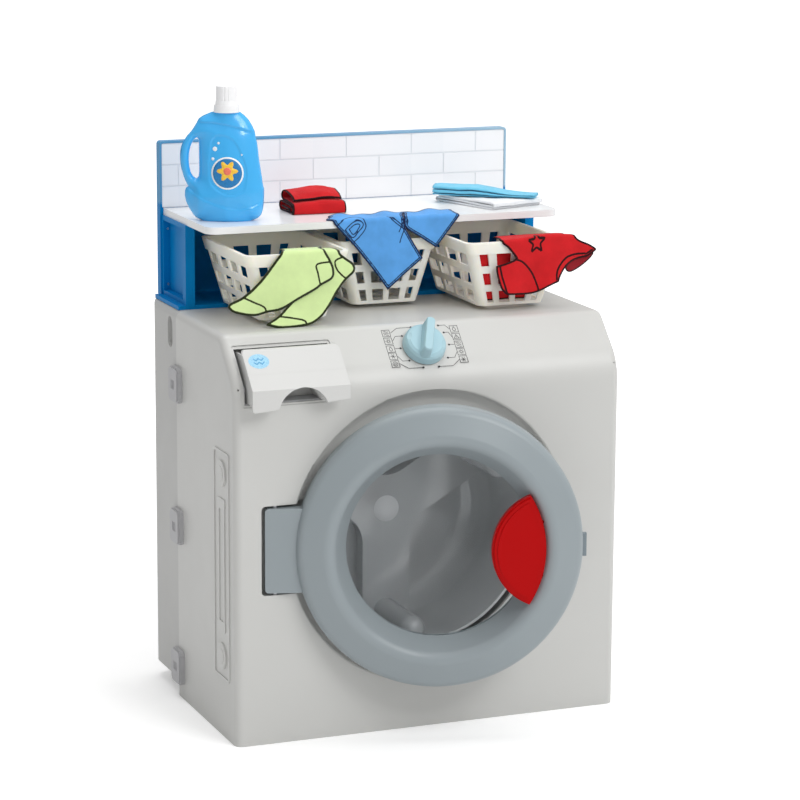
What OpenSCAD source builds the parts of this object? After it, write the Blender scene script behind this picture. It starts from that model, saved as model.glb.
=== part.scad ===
// Toy washing machine with a hutch, laundry baskets, a bottle and play clothes.
// The front faces -Y and the floor is Z = 0. X = 0 is the middle of the machine.
// The door is drawn ajar, the drawer and two baskets pulled out, as they stand when played with.

/* [Machine] */
// Width of the machine
body_w = 460; // [450:2:480]
// Depth of the machine, front face to back face
body_d = 308; // [304:1:312]
// Height of the flat top
body_h = 454; // [450:1:470]
// Wall thickness of the housings
wall = 4.5; // [3.5:0.5:5]
// Radius along the edges of the side walls
edge_r = 9; // [6:1:11]
// Tilt of the control panel
slope_a = 45; // [42:1:48]
// Distance from the front face back to the crease above the control panel
crease_in = 50.5; // [48:0.5:54]
// Radius of the crease
crease_r = 14; // [13:1:16]
// Radius between the control panel and the front face
brow_r = 55; // [45:1:60]
// Y of the seam between front and rear housing
seam_y = 56; // [50:1:60]
// Height of the rear housing above the floor
rear_lift = 20; // [10:1:25]
// Radius of the rear upright corners
rear_r = 24; // [18:1:28]

/* [Door] */
// Height of the door and drum axis
door_z = 220.5; // [216:0.5:224]
// Outer radius of the door ring
ring_r = 159; // [157:0.5:160]
// Radius of the door window opening
window_r = 103; // [100:0.5:108]
// Radius of the round recess that takes the door
recess_r = 165.5; // [165:0.5:168]
// Depth of the recess
recess_d = 17; // [16:1:20]
// Distance from the door axis to the hinge pin
hinge_u = 181.5; // [180:0.5:184]
// Radius of the hinge pin
hinge_pin_r = 3; // [2.5:0.5:4]
// Opening angle at which the door is drawn
door_ajar = 16; // [0:1:40]

/* [Drum] */
// Inner radius of the drum at its mouth
drum_r = 126; // [118:1:127]
// Depth inside the drum
drum_depth = 134; // [120:1:150]
// Width of one arm of the raised star
arm_w = 58; // [48:1:64]
// Height of the star above the back wall
star_h = 20; // [12:1:24]
// Radius of the drum axle
axle_r = 6; // [5:0.5:8]

/* [Controls] */
// Radius of the programme knob
knob_r = 24.5; // [20:0.5:26]
// Distance of the knob axis below the crease, along the slope
knob_s = 33.5; // [31:0.5:35]
// Centre of the drawer across the machine
drawer_x = -164; // [-166:1:-150]
// Width of the drawer opening
drawer_w = 109; // [100:1:110]
// Height of the lower edge of the drawer opening
drawer_z0 = 384.5; // [384:0.5:388]
// Height of the upper edge of the drawer opening
drawer_z1 = 440; // [438:0.5:443]
// How far the drawer is drawn out
drawer_out = 20; // [0:1:40]

/* [Hutch] */
// Half width of the back panel
panel_hw = 218; // [214:1:222]
// Overall height of the toy
panel_top = 636; // [630:1:645]
// Underside of the shelf
shelf_z = 550.5; // [549:0.5:556]
// Shelf thickness
shelf_t = 8; // [6:0.5:10]
// Y of the front edge of the shelf
shelf_front = -13; // [-20:1:0]
// Outer half width of the side walls
cheek_hw = 216; // [214:1:217]

/* [Baskets] */
// Rim width of a basket
rim_w = 124; // [120:1:126]
// Bottom width of a basket
foot_w = 80; // [72:1:90]
// Rim length of a basket
rim_l = 160; // [150:1:162]
// Height of a basket
basket_h = 75; // [70:1:80]
// How far the left and the right basket are drawn out
basket_out = 59; // [0:1:70]

/* [Bottle] */
// Width of the bottle body
bottle_w = 92; // [84:1:96]
// Depth of the bottle body
bottle_d = 42; // [36:1:46]
// Height of the bottle with its cap
bottle_h = 151; // [146:1:156]

/* [Hidden] */
$fn = 64;
eps = 0.01;
big = 1000;

// The machine in side view
front_y = -150;
rear_y = front_y + body_d;
crease_y = front_y + crease_in;
brow_z = body_h - crease_in * tan(slope_a);
brow_t = brow_r * tan((90 - slope_a) / 2);
crease_t = crease_r * tan(slope_a / 2);
brow_c = [front_y + brow_r, brow_z - brow_t];
crease_c = [crease_y + crease_t, body_h - crease_r];

// Door and drum
hinge_x = -183;
door_x = hinge_x + hinge_u;
hinge_y = front_y + 5;
mouth_r = 134;
fit = 0.05;
drum_wall = 3;
drum_front = front_y + 22;
drum_back = drum_front + drum_depth;
tub_back = drum_back + drum_wall + 16;
hub_r = 15.5;

// Hutch
base_t = 4.5;
base_z = body_h + base_t;
cheek_t = 11;
panel_y = rear_y - 8;
panel_t = 12;
shelf_top = shelf_z + shelf_t;

// Soft pieces
cloth_t = 1.6;
gap = 0.3;

// Rectangle with round corners, centred
module round_rect(w, h, r) {
    square([w - 2 * r, h], center = true);
    square([w, h - 2 * r], center = true);
    for (sx = [-1, 1])
        for (sy = [-1, 1])
            translate([sx * (w / 2 - r), sy * (h / 2 - r)])
                circle(r);
}

// Block with round upright edges, centred in plan, standing on z = 0
module round_block(w, d, h, r) {
    linear_extrude(h)
        round_rect(w, d, r);
}

// Puts a side-view drawing (Y across, Z up) upright, extruded along +X
module side_view() {
    rotate([90, 0, 90])
        children();
}

// Puts a front-view drawing (X across, Z up) upright, extruded along +Y from y = 0
module front_view(depth) {
    translate([0, depth, 0])
        rotate([90, 0, 0])
            linear_extrude(depth)
                children();
}

// Side profile of the machine, set in by a distance, up to a given Y
module profile(inset, back, floor_z = 0) {
    lift = inset / cos(slope_a);
    top = body_h - inset;
    front = front_y + inset;
    r2 = brow_r - inset;
    r1 = max(crease_r - inset, 0.5);
    t2 = r2 * tan((90 - slope_a) / 2);
    t1 = r1 * tan(slope_a / 2);
    crease = crease_y + (lift - inset) / tan(slope_a);
    brow = body_h + (front - crease_y) * tan(slope_a) - lift;
    along = [cos(slope_a), sin(slope_a)];
    difference() {
        polygon([
            [front, floor_z],
            [front, brow],
            [crease, top],
            [back, top],
            [back, floor_z]
        ]);
        difference() {
            polygon([
                [front + r2, brow - t2],
                [front - 1, brow - t2],
                [front - 1, brow] + (t2 + 1) * along - [1, 0],
                [front, brow] + t2 * along
            ]);
            translate([front + r2, brow - t2])
                circle(r2);
        }
        difference() {
            polygon([
                [crease + t1, top - r1],
                [crease, top] - t1 * along,
                [crease, top + 1] - t1 * along,
                [crease + t1, top + 1]
            ]);
            translate([crease + t1, top - r1])
                circle(r1);
        }
    }
}

// Points of the side profile, from the foot of the front to the foot of the seam
function arc_points(c, r, from, to, n) =
    [for (k = [0:n]) let (a = from + (to - from) * k / n) c + r * [cos(a), sin(a)]];
function side_points(inset) = concat(
    [[front_y + inset, 0]],
    arc_points(brow_c, brow_r - inset, 180, 90 + slope_a, 16),
    arc_points(crease_c, crease_r - inset, 90 + slope_a, 90, 6),
    [[seam_y, body_h - inset], [seam_y, 0]]
);

// Outside of the front housing: slices across the width, drawn in round both side edges
module front_outside() {
    steps = 7;
    bend = [for (k = [-steps:steps]) 90 * k / steps];
    slices = concat(
        [for (a = bend) if (a <= 0) [-1, a]],
        [for (a = bend) if (a >= 0) [1, a]]
    );
    rings = [
        for (s = slices) [
            for (q = side_points(edge_r * (1 - cos(s[1]))))
                [-s[0] * (body_w / 2 - edge_r) - edge_r * sin(s[1]), q.x, q.y]
        ]
    ];
    stacked(rings);
}

// Turned shape on the door axis: x is the radius, y is the distance out of the front face
module door_turned(x = 0) {
    translate([x, front_y, door_z])
        rotate([90, 0, 0])
            rotate_extrude($fn = 128)
                children();
}

// Recess for the door: flat floor, hollow corner and a soft lip
module door_recess() {
    lip = 3;
    cove = 11;
    door_turned() {
        translate([0, -recess_d + cove])
            square([recess_r, recess_d - cove + 20]);
        translate([0, -recess_d])
            square([recess_r - cove, recess_d]);
        translate([recess_r - cove, -recess_d + cove])
            circle(cove);
        difference() {
            translate([recess_r - 1, -lip])
                square([lip + 1, lip + 1]);
            translate([recess_r + lip, -lip])
                circle(lip);
        }
        translate([0, -60])
            square([mouth_r, 60]);
    }
}

// Pocket in the front face for the hinge arm of the door
pocket_w = 62;
pocket_h = 101;
pocket_d = 21;
module hinge_pocket(grow = 0, deeper = 0) {
    translate([hinge_x - 17 + pocket_w / 2, front_y - 5 * (grow > 0 ? 0 : 1), door_z])
        rotate([-90, 0, 0])
            round_block(
                pocket_w + 2 * grow,
                pocket_h + 2 * grow,
                pocket_d + deeper + 5 * (grow > 0 ? 0 : 1),
                5 + grow
            );
}

// Slot in the control panel for the drawer
module drawer_slot(grow = 0) {
    translate([drawer_x - drawer_w / 2 - grow, front_y - 20, drawer_z0 - grow])
        cube([drawer_w + 2 * grow, 100, drawer_z1 - drawer_z0 + 2 * grow]);
}

// Shallow rebate round the slot
module slot_rebate() {
    low = drawer_z0 - 2.5;
    high = drawer_z1 + 3.5;
    difference() {
        translate([drawer_x, front_y - 20, (low + high) / 2])
            front_view(100)
                round_rect(drawer_w + 5.4, high - low, 3);
        behind(1.2);
    }
}

// Places children on the control panel: +Z out of the panel, +Y up the slope
module on_slope(x, s) {
    translate([x, crease_y - s * cos(slope_a), body_h - s * sin(slope_a)])
        rotate([slope_a, 0, 0])
            children();
}

// Moulded picture of a hose and its fittings on the left side wall
module hose_relief() {
    proud = 1.2;
    translate([-body_w / 2 - proud, front_y + 46, 197])
        rotate([0, 90, 0]) {
            difference() {
                round_block(260, 52, proud + 1, 5);
                translate([0, 0, -eps])
                    round_block(254, 46, proud, 3);
            }
            for (side = [-1, 1]) {
                translate([side * 104, 0, -0.8])
                    cylinder(r = 15, h = 2.6);
                translate([side * 104, 0, -1.2])
                    cylinder(r = 9, h = 3);
                translate([side * 70, 0, 0])
                    round_block(12, 24, 2, 3);
            }
            for (line = [-9, 9])
                translate([0, line, 0])
                    round_block(140, 4, 2, 1.9);
        }
}

module front_housing() {
    bowl_r = recess_r + 4;
    color([0.78, 0.78, 0.77]) {
        difference() {
            front_outside();
            difference() {
                side_view()
                    translate([0, 0, -body_w / 2 + wall + 0.5])
                        linear_extrude(body_w - 2 * wall - 1)
                            profile(wall, seam_y + 1, wall);
                translate([0, front_y, door_z])
                    rotate([-90, 0, 0])
                        cylinder(r = bowl_r, h = recess_d + 4, $fn = 128);
                hinge_pocket(6, 6);
            }
            door_recess();
            hinge_pocket();
            drawer_slot();
            slot_rebate();
            translate([hinge_x, hinge_y, door_z - pocket_h / 2 - 5])
                cylinder(r = hinge_pin_r, h = pocket_h + 10);
            on_slope(0, knob_s)
                translate([0, 0, -20])
                    cylinder(r = 6, h = 40);
            at_pads()
                translate([0, 0, -1])
                    cylinder(r = pad_r, h = wall + 2);
        }
        hose_relief();
    }
}

// Upright oblong, lying against a side wall, thickness along +X
module side_oblong(h, d, t, r) {
    rotate([0, 90, 0])
        round_block(h, d, t, r);
}

module rear_outside(inset, front) {
    w = body_w - 2 * inset;
    top = body_h - inset;
    back = rear_y - inset;
    low = rear_lift + inset;
    intersection() {
        translate([0, front, 0])
            front_view(back - front)
                union() {
                    translate([-w / 2, low])
                        square([w, top - low - edge_r]);
                    translate([-w / 2 + edge_r, low])
                        square([w - 2 * edge_r, top - low]);
                    for (sx = [-1, 1])
                        translate([sx * (w / 2 - edge_r), top - edge_r])
                            circle(edge_r);
                }
        union() {
            translate([-w / 2, front - 1, 0])
                cube([w, back - rear_r - front + 1, big]);
            translate([-w / 2 + rear_r, front - 1, 0])
                cube([w - 2 * rear_r, back - front + 1, big]);
            for (sx = [-1, 1])
                translate([sx * (w / 2 - rear_r), back - rear_r, 0])
                    cylinder(r = rear_r, h = big);
        }
    }
}

// Recessed grip slots near the top of the rear housing
slot_y = 78;
slot_z = 427;
module rear_housing() {
    lip_in = wall + 0.9;
    color([0.74, 0.74, 0.74])
        difference() {
            union() {
                rear_outside(0, seam_y);
                rear_outside(lip_in, seam_y - 7);
            }
            difference() {
                rear_outside(wall + 3, seam_y - 20);
                for (m = [0, 1])
                    mirror([m, 0, 0])
                        translate([body_w / 2 - 13, slot_y, slot_z - 4])
                            side_oblong(50, 30, 13, 8);
            }
            for (m = [0, 1])
                mirror([m, 0, 0])
                    translate([body_w / 2 - 6, slot_y, slot_z])
                        side_oblong(36, 17, 10, 8.4);
        }
}

// Snap clips that hold the two housings together across the seam
clip_z = [38, 205, 371];
clip_w = 32;
clip_h = 41;
clip_t = 7;
module case_clips() {
    color([0.62, 0.62, 0.62])
        for (m = [0, 1])
            for (z = clip_z)
                mirror([m, 0, 0])
                    translate([body_w / 2, seam_y - 6, z])
                        difference() {
                            union() {
                                side_oblong(clip_h, clip_w, clip_t - 2, 7);
                                side_oblong(clip_h - 3, clip_w - 3, clip_t, 6);
                            }
                            // pry slot in the face
                            translate([clip_t - 1.5, 0, 0])
                                side_oblong(11, 3.5, 3, 1.7);
                            for (step = [-1, 1])
                                translate([clip_t - 1.5, step * 4.5, 0])
                                    side_oblong(11, 2.4, 3, 1.1);
                        }
}

// Corner pads let into the underside
pad_r = 9;
module at_pads() {
    for (sx = [-1, 1])
        for (y = [front_y + 18, seam_y - 22])
            translate([sx * (body_w / 2 - 18), y, 0])
                children();
}

module corner_pads() {
    color([0.25, 0.25, 0.25])
        at_pads()
            cylinder(r = pad_r, h = wall);
}

// Fixed round tub behind the front face, in which the drum turns
tub_r = 136;
module drum_tub() {
    front = front_y + recess_d + 4;
    back = tub_back;
    color([0.45, 0.46, 0.47])
        translate([0, front, door_z])
            rotate([-90, 0, 0])
                difference() {
                    union() {
                        cylinder(r = tub_r + 3, h = back - front, $fn = 128);
                        cylinder(r = tub_r + 22, h = 3, $fn = 128);
                        translate([0, 0, back - front - eps])
                            cylinder(r = 26, h = 16);
                        for (k = [0:5])
                            rotate(60 * k)
                                translate([20, -2, back - front - eps])
                                    cube([110, 4, 8]);
                    }
                    translate([0, 0, -1])
                        cylinder(r = tub_r, h = back - front - 3, $fn = 128);
                    translate([0, 0, -1])
                        cylinder(r = axle_r, h = big);
                    for (k = [0:5])
                        rotate(60 * k + 30)
                            translate([tub_r + 12.5, 0, -1])
                                cylinder(r = 2, h = 10);
                    // notch for the hinge pocket of the housing
                    translate([hinge_x - 17 - 6.1, -pocket_h / 2 - 6.1, -1])
                        cube([pocket_w + 12.2, pocket_h + 12.2, 7.1]);
                }
}

// One pan-head screw pointing along -Z, head on top at z = 0
module screw(shank_r, shank_l, head_r, head_h) {
    translate([0, 0, -shank_l])
        cylinder(r = shank_r, h = shank_l + eps);
    difference() {
        cylinder(r1 = head_r, r2 = head_r * 0.8, h = head_h);
        for (a = [0, 90])
            rotate(a)
                translate([0, 0, head_h])
                    cube([head_r * 1.1, 0.9, head_h], center = true);
    }
}

module tub_screws() {
    front = front_y + recess_d + 4;
    color([0.7, 0.7, 0.7])
        translate([0, front + 3, door_z])
            rotate([-90, 0, 0])
                for (k = [0:5])
                    rotate(60 * k + 30)
                        translate([tub_r + 12.5, 0, 0])
                            screw(2, 2.9, 4, 2.4);
}

// Axle: fixed in the tub boss, head at the front inside the hub of the drum
module drum_axle() {
    head_y = drum_back - star_h + 3;
    color([0.6, 0.6, 0.62])
        translate([0, head_y, door_z])
            rotate([-90, 0, 0]) {
                cylinder(r = axle_r, h = tub_back + 24 - head_y);
                cylinder(r = axle_r + 3, h = 3);
            }
}

module axle_washer() {
    color([0.7, 0.7, 0.72])
        translate([0, tub_back + 16, door_z])
            rotate([-90, 0, 0])
                difference() {
                    cylinder(r = axle_r + 7, h = 1.6);
                    translate([0, 0, -1])
                        cylinder(r = axle_r + fit, h = 4);
                }
}

module axle_clip() {
    color([0.5, 0.5, 0.52])
        translate([0, tub_back + 17.6, door_z])
            rotate([-90, 0, 0])
                difference() {
                    cylinder(r = axle_r + 3, h = 1.2);
                    translate([0, 0, -1])
                        cylinder(r = axle_r, h = 4);
                    translate([0, -1.5, -1])
                        cube([20, 3, 4]);
                }
}

// Turned shape on the drum axis: x is the radius, y runs from the mouth to the back
module drum_turned() {
    translate([0, drum_front, door_z])
        rotate([-90, 0, 0])
            rotate_extrude($fn = 128)
                children();
}

// Meridian of the drum bowl with a large radius between wall and back
bowl_round = 34;
module drum_meridian(grow) {
    depth = drum_depth + grow;
    r = drum_r + grow;
    square([r, depth - bowl_round]);
    square([r - bowl_round, depth]);
    translate([r - bowl_round, depth - bowl_round])
        circle(bowl_round, $fn = 96);
}

// Plan of the three-armed star, with large hollows between the arms
star_hollow = 40;
module star_plan() {
    reach = (arm_w / 2 + star_hollow) / sin(60);
    foot = reach * cos(60);
    for (k = [0:2])
        rotate(30 + 120 * k) {
            translate([0, -arm_w / 2])
                square([drum_r - 2, arm_w]);
        }
    for (k = [0:2])
        rotate(90 + 120 * k)
            difference() {
                polygon([
                    [0, 0],
                    [foot * cos(60), foot * sin(60)] + arm_w / 2 * [sin(60), -cos(60)],
                    [reach, 0],
                    [foot * cos(60), -foot * sin(60)] + arm_w / 2 * [sin(60), cos(60)]
                ]);
                translate([reach, 0])
                    circle(star_hollow, $fn = 96);
            }
}

// Raised star on the back wall and three rounded paddles along the wall
paddle_r = 15;
module drum_inside_forms() {
    translate([0, drum_back - star_h, door_z])
        rotate([-90, 0, 0])
            linear_extrude(star_h + 1)
                mirror([0, 1])
                    star_plan();
    for (k = [0:2])
        rotate_about_drum(30 + 120 * k)
            translate([drum_r - 4, drum_front + 34, door_z]) {
                rotate([-90, 0, 0])
                    cylinder(r = paddle_r, h = drum_depth - 40);
                sphere(paddle_r);
            }
}

module rotate_about_drum(angle) {
    translate([0, 0, door_z])
        rotate([0, -angle, 0])
            translate([0, 0, -door_z])
                children();
}

module drum() {
    color([0.5, 0.51, 0.53])
        difference() {
            union() {
                difference() {
                    drum_turned()
                        intersection() {
                            drum_meridian(drum_wall);
                            square([big, big]);
                        }
                    translate([0, -eps, 0])
                        drum_turned()
                            intersection() {
                                drum_meridian(0);
                                square([big, big]);
                            }
                }
                // rolled lip at the mouth
                drum_turned()
                    translate([drum_r + drum_wall - 1, 2])
                        circle(2);
                intersection() {
                    drum_inside_forms();
                    drum_turned()
                        intersection() {
                            drum_meridian(drum_wall / 2);
                            square([big, big]);
                        }
                }
                translate([0, drum_back, door_z])
                    rotate([-90, 0, 0])
                        cylinder(r = 20, h = drum_wall + 9);
            }
            translate([0, drum_front, door_z])
                rotate([-90, 0, 0])
                    cylinder(r = axle_r + 4, h = big);
            translate([0, drum_back - star_h - 1, door_z])
                rotate([-90, 0, 0])
                    cylinder(r = hub_r - 2, h = 8);
        }
}

module drum_bush() {
    start = drum_back - star_h + 7;
    color([0.9, 0.9, 0.88])
        translate([0, start, door_z])
            rotate([-90, 0, 0])
                difference() {
                    cylinder(r = axle_r + 4, h = tub_back - 4.4 - start);
                    translate([0, 0, -1])
                        cylinder(r = axle_r + fit, h = big);
                }
}

module drum_hub_cap() {
    dome = 40;
    color([0.6, 0.6, 0.61])
        translate([0, drum_back - star_h, door_z])
            rotate([90, 0, 0])
                intersection() {
                    translate([0, 0, 3.5 - dome])
                        sphere(dome, $fn = 96);
                    cylinder(r = hub_r, h = 10);
                }
}

// Swings children about the hinge pin, from the closed door to where it stands
module at_door() {
    translate([hinge_x, hinge_y, 0])
        rotate(-door_ajar)
            translate([-hinge_x, -hinge_y, 0])
                children();
}

// Meridian of the door ring: rounded rim, broad ridge, steep inner slope to the window
ridge_r = 126;
ridge_h = 20;
round_r = 12;
sill = 9;
ring_back = 12;
rim_c = [ring_r - round_r, 0];
ridge_c = [ridge_r, ridge_h - round_r];
window_p = [window_r, -sill];

// Point where the tangent from p touches a circle, on its left seen from p
function touch(p, c, r) =
    let (d = norm(c - p), a = atan2(c.y - p.y, c.x - p.x) + asin(r / d))
    p + sqrt(d * d - r * r) * [cos(a), sin(a)];

module ring_meridian(inset) {
    r = round_r - inset;
    across = (rim_c - ridge_c) / norm(rim_c - ridge_c);
    up = [-across.y, across.x];
    p = window_p + [inset * 1.13, -inset];
    translate(rim_c)
        circle(r, $fn = 96);
    translate(ridge_c)
        circle(r, $fn = 96);
    polygon([
        p,
        touch(p, ridge_c, r),
        ridge_c + r * up,
        rim_c + r * up,
        rim_c + [r, 0],
        rim_c + [r, inset > 0 ? -ring_back - 1 : -ring_back],
        p + [0, inset > 0 ? -ring_back : sill - ring_back]
    ]);
}

arm_l = 44;
arm_h = 95;
peg_x = 110;
peg_z = 30;
module door_ring() {
    color([0.6, 0.64, 0.67])
        at_door()
            difference() {
                union() {
                    door_turned(door_x)
                        difference() {
                            ring_meridian(0);
                            ring_meridian(3);
                        }
                    // hinge arm, a block with soft corners that holds the pin
                    translate([hinge_x - 11 + arm_l / 2, front_y - 3, door_z])
                        rotate([-90, 0, 0])
                            round_block(arm_l, arm_h, 14.8, 4);
                    // bosses for the screws of the retainer
                    at_retainer_screws()
                        translate([0, 0, -2.5 - ring_back - ridge_h + 2])
                            cylinder(r = 4, h = ring_back + ridge_h - 2);
                }
                at_retainer_screws()
                    translate([0, 0, -12])
                        cylinder(r = 1.5, h = 20);
                translate([hinge_x, hinge_y, door_z - arm_h])
                    cylinder(r = hinge_pin_r + fit, h = 2 * arm_h);
                // rebate for the window at the back of the inner slope
                door_turned(door_x)
                    translate([window_r - 2, -20])
                        square([11.8, 20 - sill]);
                // holes that take the two pegs of the handle
                for (sz = [-1, 1])
                    translate([door_x + peg_x, front_y - 30, door_z + sz * peg_z])
                        rotate([-90, 0, 0])
                            cylinder(r = 3, h = 36);
            }
}

window_t = 2.5;
module door_window() {
    sag = 8;
    rim = window_r - 2;
    dome = (rim * rim + sag * sag) / (2 * sag);
    color([0.85, 0.9, 0.93, 0.4])
        at_door()
            translate([door_x, front_y + sill, door_z])
                rotate([-90, 0, 0])
                    union() {
                        difference() {
                            cylinder(r = window_r + 9.5, h = window_t, $fn = 128);
                            translate([0, 0, -1])
                                cylinder(r = rim, h = 5, $fn = 128);
                        }
                        intersection() {
                            translate([0, 0, -4])
                                cylinder(r = rim + eps, h = 20, $fn = 128);
                            difference() {
                                translate([0, 0, window_t + sag - dome])
                                    sphere(dome, $fn = 192);
                                translate([0, 0, sag - dome])
                                    sphere(dome, $fn = 192);
                            }
                        }
                    }
}

module window_retainer() {
    outer = ring_r - 1.5;
    color([0.55, 0.59, 0.62])
        at_door()
            difference() {
                door_turned(door_x) {
                    translate([window_r, -ring_back - 2.5])
                        square([outer - window_r, 2.5]);
                    translate([window_r + 4, -ring_back])
                        square([5, ring_back - sill - window_t]);
                }
                translate([hinge_x - 11, front_y, door_z - arm_h / 2 - 1])
                    cube([arm_l + 1, 40, arm_h + 2]);
                at_retainer_screws()
                    translate([0, 0, -4])
                        cylinder(r = 1.5, h = 8);
            }
}

// Places of the six screws on the back of the retainer, pointing forward
module at_retainer_screws() {
    translate([door_x, front_y + ring_back + 2.5, door_z])
        rotate([-90, 0, 0])
            for (k = [0:5])
                rotate(60 * k + 30)
                    translate([ridge_r, 0, 0])
                        children();
}

module retainer_screws() {
    color([0.7, 0.7, 0.7])
        at_door()
            at_retainer_screws()
                screw(1.5, 12, 3, 1.4);
}

// Red grip: the lens between a circle just inside the ridge and one from the other side
handle_w = 60;
handle_h = 123;
handle_r = 115;
module handle_plan(inset) {
    far_r = 66;
    intersection() {
        circle(handle_r - inset, $fn = 128);
        translate([handle_r - handle_w + far_r, 0])
            circle(far_r - inset, $fn = 128);
        translate([0, -handle_h / 2 + inset])
            square([big, handle_h - 2 * inset]);
    }
}

module door_handle() {
    low = 12.5;
    color([0.8, 0.05, 0.06])
        at_door()
            translate([door_x, front_y - low, door_z])
                rotate([90, 0, 0]) {
                    linear_extrude(8.5)
                        handle_plan(0);
                    linear_extrude(10.5)
                        handle_plan(2.2);
                    linear_extrude(11.5)
                        handle_plan(6);
                    for (sz = [-1, 1])
                        translate([peg_x, sz * peg_z, -14])
                            cylinder(r = 3, h = 15);
                }
}

module door_catch() {
    color([0.42, 0.46, 0.49])
        at_door()
            difference() {
                translate([door_x + ring_r - 4, front_y, door_z - 13])
                    cube([8, 6, 26]);
                translate([door_x, front_y - 1, door_z])
                    rotate([-90, 0, 0])
                        cylinder(r = ring_r, h = 8, $fn = 128);
            }
}

module catch_strike() {
    color([0.5, 0.54, 0.57])
        translate([recess_r - 28, front_y + recess_d - 1.5, door_z - 16])
            cube([14, 1.5, 32]);
}

module hinge_pin() {
    color([0.7, 0.7, 0.72])
        translate([hinge_x, hinge_y, door_z - pocket_h / 2 - 4.5])
            cylinder(r = hinge_pin_r, h = pocket_h + 9);
}

// Programme knob: soft-edged disc with a broad grip, turned a little clockwise
knob_h = 13;
knob_turn = 20;
grip_h = 13;
module knob() {
    color([0.55, 0.78, 0.85])
        on_slope(0, knob_s)
            translate([0, 0, 1.5])
                difference() {
                    union() {
                        cylinder(r1 = knob_r, r2 = knob_r - 0.8, h = knob_h - 5);
                        translate([0, 0, knob_h - 5])
                            cylinder(r1 = knob_r - 0.8, r2 = knob_r - 2.6, h = 3);
                        translate([0, 0, knob_h - 2])
                            cylinder(r1 = knob_r - 2.6, r2 = knob_r - 5.6, h = 2);
                        rotate(-knob_turn)
                            hull() {
                                translate([0, 0, knob_h / 2])
                                    round_block(14, 46, 1, 5, $fn = 24);
                                translate([0, 0, knob_h + grip_h - 1.5])
                                    round_block(10, 45.5, 0.1, 4, $fn = 24);
                                translate([0, 0, knob_h + grip_h])
                                    round_block(8, 43.5, 0.1, 3, $fn = 24);
                            }
                    }
                    translate([0, 0, -1])
                        cylinder(r = 4, h = 9);
                    // dished face on both sides of the grip
                    rotate(-knob_turn)
                        for (sx = [-1, 1])
                            translate([sx * 30, 0, knob_h + 18])
                                sphere(22);
                }
}

module knob_shaft() {
    color([0.85, 0.85, 0.83])
        on_slope(0, knob_s)
            translate([0, 0, -13]) {
                cylinder(r = 5.95, h = 14.5);
                translate([0, 0, 14])
                    cylinder(r = 4, h = 7);
            }
}

module knob_bezel() {
    color([0.83, 0.83, 0.82])
        on_slope(0, knob_s)
            difference() {
                cylinder(r = knob_r - 3, h = 1);
                translate([0, 0, -1])
                    cylinder(r = 6.6, h = 4);
            }
}

module knob_washer() {
    color([0.7, 0.7, 0.72])
        on_slope(0, knob_s)
            translate([0, 0, -13])
                difference() {
                    translate([0, 0, 3])
                        cylinder(r = 11, h = 1.5);
                    cylinder(r = 5.95, h = 8);
                }
}

// Everything behind a side-view line, across the whole width
module behind(inset) {
    side_view()
        translate([0, 0, -body_w / 2])
            linear_extrude(body_w)
                profile(inset, seam_y, -20);
}

// Sleeve behind the slot in which the drawer slides
drawer_l = 96;
module drawer_sleeve() {
    t = 2;
    w = drawer_w + 1;
    h = drawer_z1 - drawer_z0 + 1;
    color([0.68, 0.69, 0.7])
        intersection() {
            translate([drawer_x - w / 2, front_y, drawer_z0 - 0.5])
                difference() {
                    cube([w, drawer_l + 16, h]);
                    translate([t, -1, t])
                        cube([w - 2 * t, drawer_l + 15, h - 2 * t]);
                }
            behind(wall);
        }
}

// The drawer is drawn closed here and moved out by its distance
module at_drawer() {
    translate([0, -drawer_out, 0])
        children();
}

tray_w = drawer_w - 8;
tray_h = 50;
tray_z = drawer_z0 + 1.8;
arch_p = [drawer_x + 5.5, 376];
arch_r = 29.5;

// Cutter along Y for the finger arch of the drawer
module finger_arch(grow, from, to) {
    translate([arch_p.x, from, arch_p.y])
        rotate([-90, 0, 0])
            cylinder(r = arch_r + grow, h = to - from, $fn = 96);
}

// The finger arch runs on into the tray as a tunnel under the bays
module drawer_tray() {
    t = 2;
    bay = tray_w / 2 - 1.5 * t;
    tunnel_end = front_y + drawer_l / 2 - t;
    color([0.82, 0.82, 0.81])
        at_drawer()
            difference() {
                intersection() {
                    translate([drawer_x - tray_w / 2, front_y - 4, tray_z])
                        cube([tray_w, drawer_l + 4, tray_h]);
                    behind(-0.2);
                }
                // large powder bay, then two small bays one behind the other
                intersection() {
                    difference() {
                        translate([drawer_x, front_y, tray_z + t]) {
                            translate([-tray_w / 2 + t, -4, 0])
                                cube([bay, drawer_l + 4 - t, tray_h]);
                            translate([t / 2, -4, 0])
                                cube([bay, drawer_l / 2 + 4 - t, tray_h]);
                            translate([t / 2, drawer_l / 2, 0])
                                cube([bay, drawer_l / 2 - t, tray_h]);
                        }
                        finger_arch(t, front_y - 10, tunnel_end + t);
                    }
                    behind(2);
                }
                finger_arch(0, front_y - 10, tunnel_end);
            }
}

// Drawer front: a plate bent like the machine, with a finger arch in its lower edge
front_w = 112;
front_x = drawer_x + 2.8;
front_low = 380.5;
front_high = 442.8;
module drawer_front() {
    droop = 4.5;
    color([0.93, 0.93, 0.92])
        at_drawer()
            difference() {
                intersection() {
                    translate([front_x, 0, 0])
                        side_view()
                            translate([0, 0, -front_w / 2])
                                linear_extrude(front_w)
                                    difference() {
                                        profile(-3.2, 0);
                                        profile(-0.2, 1, -1);
                                    }
                    translate([front_x, front_y - 60, 0])
                        front_view(160)
                            intersection() {
                                translate([0, (front_low + front_high) / 2])
                                    round_rect(front_w, front_high - front_low, 4);
                                polygon([
                                    [-front_w, front_low - droop],
                                    [front_w, front_low + 3 * droop],
                                    [front_w, big],
                                    [-front_w, big]
                                ]);
                            }
                }
                finger_arch(0, front_y - 60, front_y + 40);
            }
}

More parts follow.
